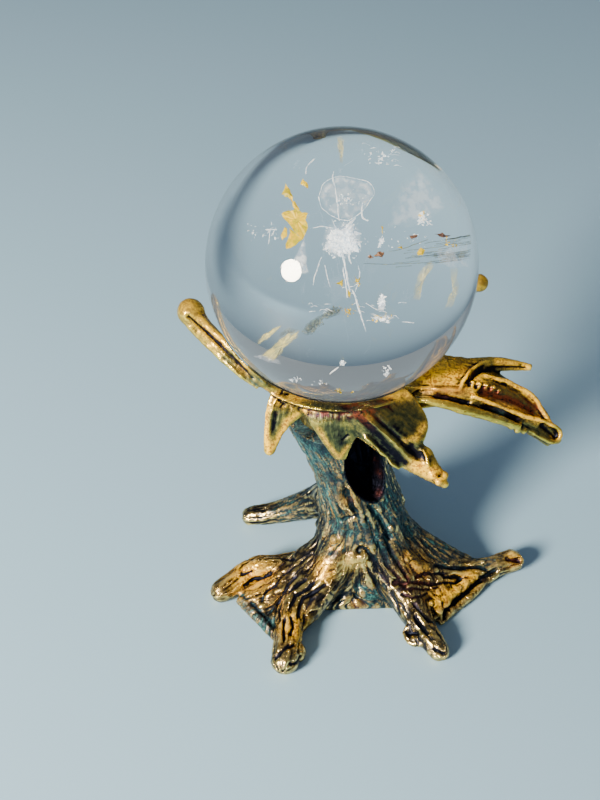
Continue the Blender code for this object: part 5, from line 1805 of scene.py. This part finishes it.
    def white_needles(self) -> list[Rows]:
        """Lay the white needles, streamers and the wavering rim of the ring veil."""
        chance = random.Random(4)
        wisps = []
        for middle, spread in self.wisp_clouds:
            for _ in range(self.wisps_a_cloud):
                x, y, z = (near + chance.uniform(-far, far) for near, far in zip(middle, spread))
                wisps.append([(x, y, z, 0.02),
                              (x + chance.uniform(0.2, 0.5), y, z + chance.uniform(0.1, 0.3), 0.05),
                              (x + chance.uniform(0.6, 1.0), y, z + chance.uniform(-0.2, 0.2), 0.02)])
        ring = [(*place, chance.uniform(0.02, 0.09)) for place in self.ring_rim + self.ring_rim[:1]]
        return [*wisps, ring, *self.needle_rows]

    def dark_lines(self) -> list[Rows]:
        """Lay the fine level lines at the right side of the ball."""
        chance = random.Random(5)
        lines = list(self.level_lines)
        for _ in range(self.level_count):
            height = chance.uniform(-1.0, 1.0)
            start = 5.4 + 7.0 * chance.random() ** 0.6
            end = min(start + chance.uniform(1.2, 5.0), 14.2)
            lines.append([(x, 0.9 + 0.052 * (x - 4.0) ** 2 + height * 0.8,
                           0.7 - 0.022 * (x - 4.0) ** 2 + height, chance.uniform(0.015, 0.05))
                          for x in (start, (start + end) / 2, end)])
        return lines

    def build(self, sweeper: SweepTree, scatterer: ScatterTree) -> None:
        """Build the ball and everything in it.

        Args:
            sweeper: The tree that sweeps needles.
            scatterer: The tree that scatters shards.
        """
        settle(self.shell(Crystal().material()), "crystal_sphere", covers=True)
        frost, gold, smoke = FROST.material(), GOLD.material(), SMOKE.material()
        white_veils = (Veil(self.ring_rim, 0.9, 0.75), *self.white_veils)
        for piece in (
                self.clouds("frost", self.frost_clouds, scatterer, frost),
                self.clouds("gold_specks", self.gold_clouds, scatterer, gold),
                self.clouds("smoky_streak", self.smoke_clouds, scatterer, smoke),
                self.flakes("gold_flakes", self.gold_flakes, gold),
                self.flakes("brown_flakes", self.brown_flakes, BROWN.material()),
                self.veils("white_veils", white_veils, WHITE_FILM.material()),
                self.veils("smoke_veils", self.smoke_veils, SMOKE_FILM.material()),
                self.veils("pale_gold_veils", self.pale_gold_veils, GOLD_FILM.material()),
                self.needles("white_needles", self.white_needles(), sweeper, frost, 0.4),
                self.needles("dark_lines", self.dark_lines(), sweeper, smoke, 0.25)):
            settle(piece, "crystal_sphere")


@dataclass
class Studio:
    """Plain pale floor, one soft lamp in an even light, and the camera at the photograph's angle."""

    floor_half: float = 3000.0
    floor_colour: Colour = (0.28, 0.46, 0.66)
    sky: Colour = (0.86, 0.94, 1.0)
    sky_strength: float = 0.26
    lamp_place: Place = (-420.0, -400.0, 300.0)
    lamp_width: float = 180.0
    lamp_power: float = 70.0
    lamp_colour: Colour = (1.0, 0.89, 0.68)
    camera_place: Place = (-14.885, -170.420, 192.417)
    camera_pitch: float = 50.0
    lens: float = 50.0
    sensor: float = 36.0

    def floor(self) -> None:
        """Lay the floor."""
        body = bmesh.new()
        bmesh.ops.create_grid(body, x_segments=1, y_segments=1, size=self.floor_half * MM)
        mesh = mesh_of(body, "floor")
        board = NodeBoard("pale_floor")
        board.set(Base_Color=self.floor_colour, Roughness=0.55)
        mesh.materials.append(board.material)
        new_carrier("floor", mesh)

    def light(self) -> None:
        """Hang the lamp and set the even light around."""
        lamp = bpy.data.lights.new("key", "POINT")
        lamp.shadow_soft_size = self.lamp_width / 2 * MM
        lamp.energy = self.lamp_power
        lamp.color = self.lamp_colour
        new_carrier("key", lamp).location = metres(self.lamp_place)
        world = bpy.data.worlds.new("soft_light")
        world.use_nodes = True
        around = world.node_tree.nodes["Background"]
        around.inputs["Color"].default_value = (*self.sky, 1.0)
        around.inputs["Strength"].default_value = self.sky_strength
        bpy.context.scene.world = world

    def camera(self) -> None:
        """Set up the camera."""
        data = bpy.data.cameras.new("camera")
        data.sensor_fit = "VERTICAL"
        data.sensor_height = self.sensor
        data.lens = self.lens
        data.clip_start = 10.0 * MM
        item = new_carrier("camera", data)
        item.location = metres(self.camera_place)
        item.rotation_euler = (math.radians(self.camera_pitch), 0.0, 0.0)
        bpy.context.scene.camera = item

    def build(self) -> None:
        """Build the studio."""
        self.camera()
        self.floor()
        self.light()


def main() -> None:
    """Build the object piece by piece, then the studio."""
    logging.basicConfig(level=logging.INFO, format="%(name)s %(message)s")
    sweeper = SweepTree()
    scatterer = ScatterTree()
    TrunkCasting().build(sweeper, TRUNK_METAL.material())
    CradleCasting().build(sweeper, CRADLE_METAL.material())
    CrystalBall().build(sweeper, scatterer)
    Studio().build()


if __name__ == "__main__":
    main()
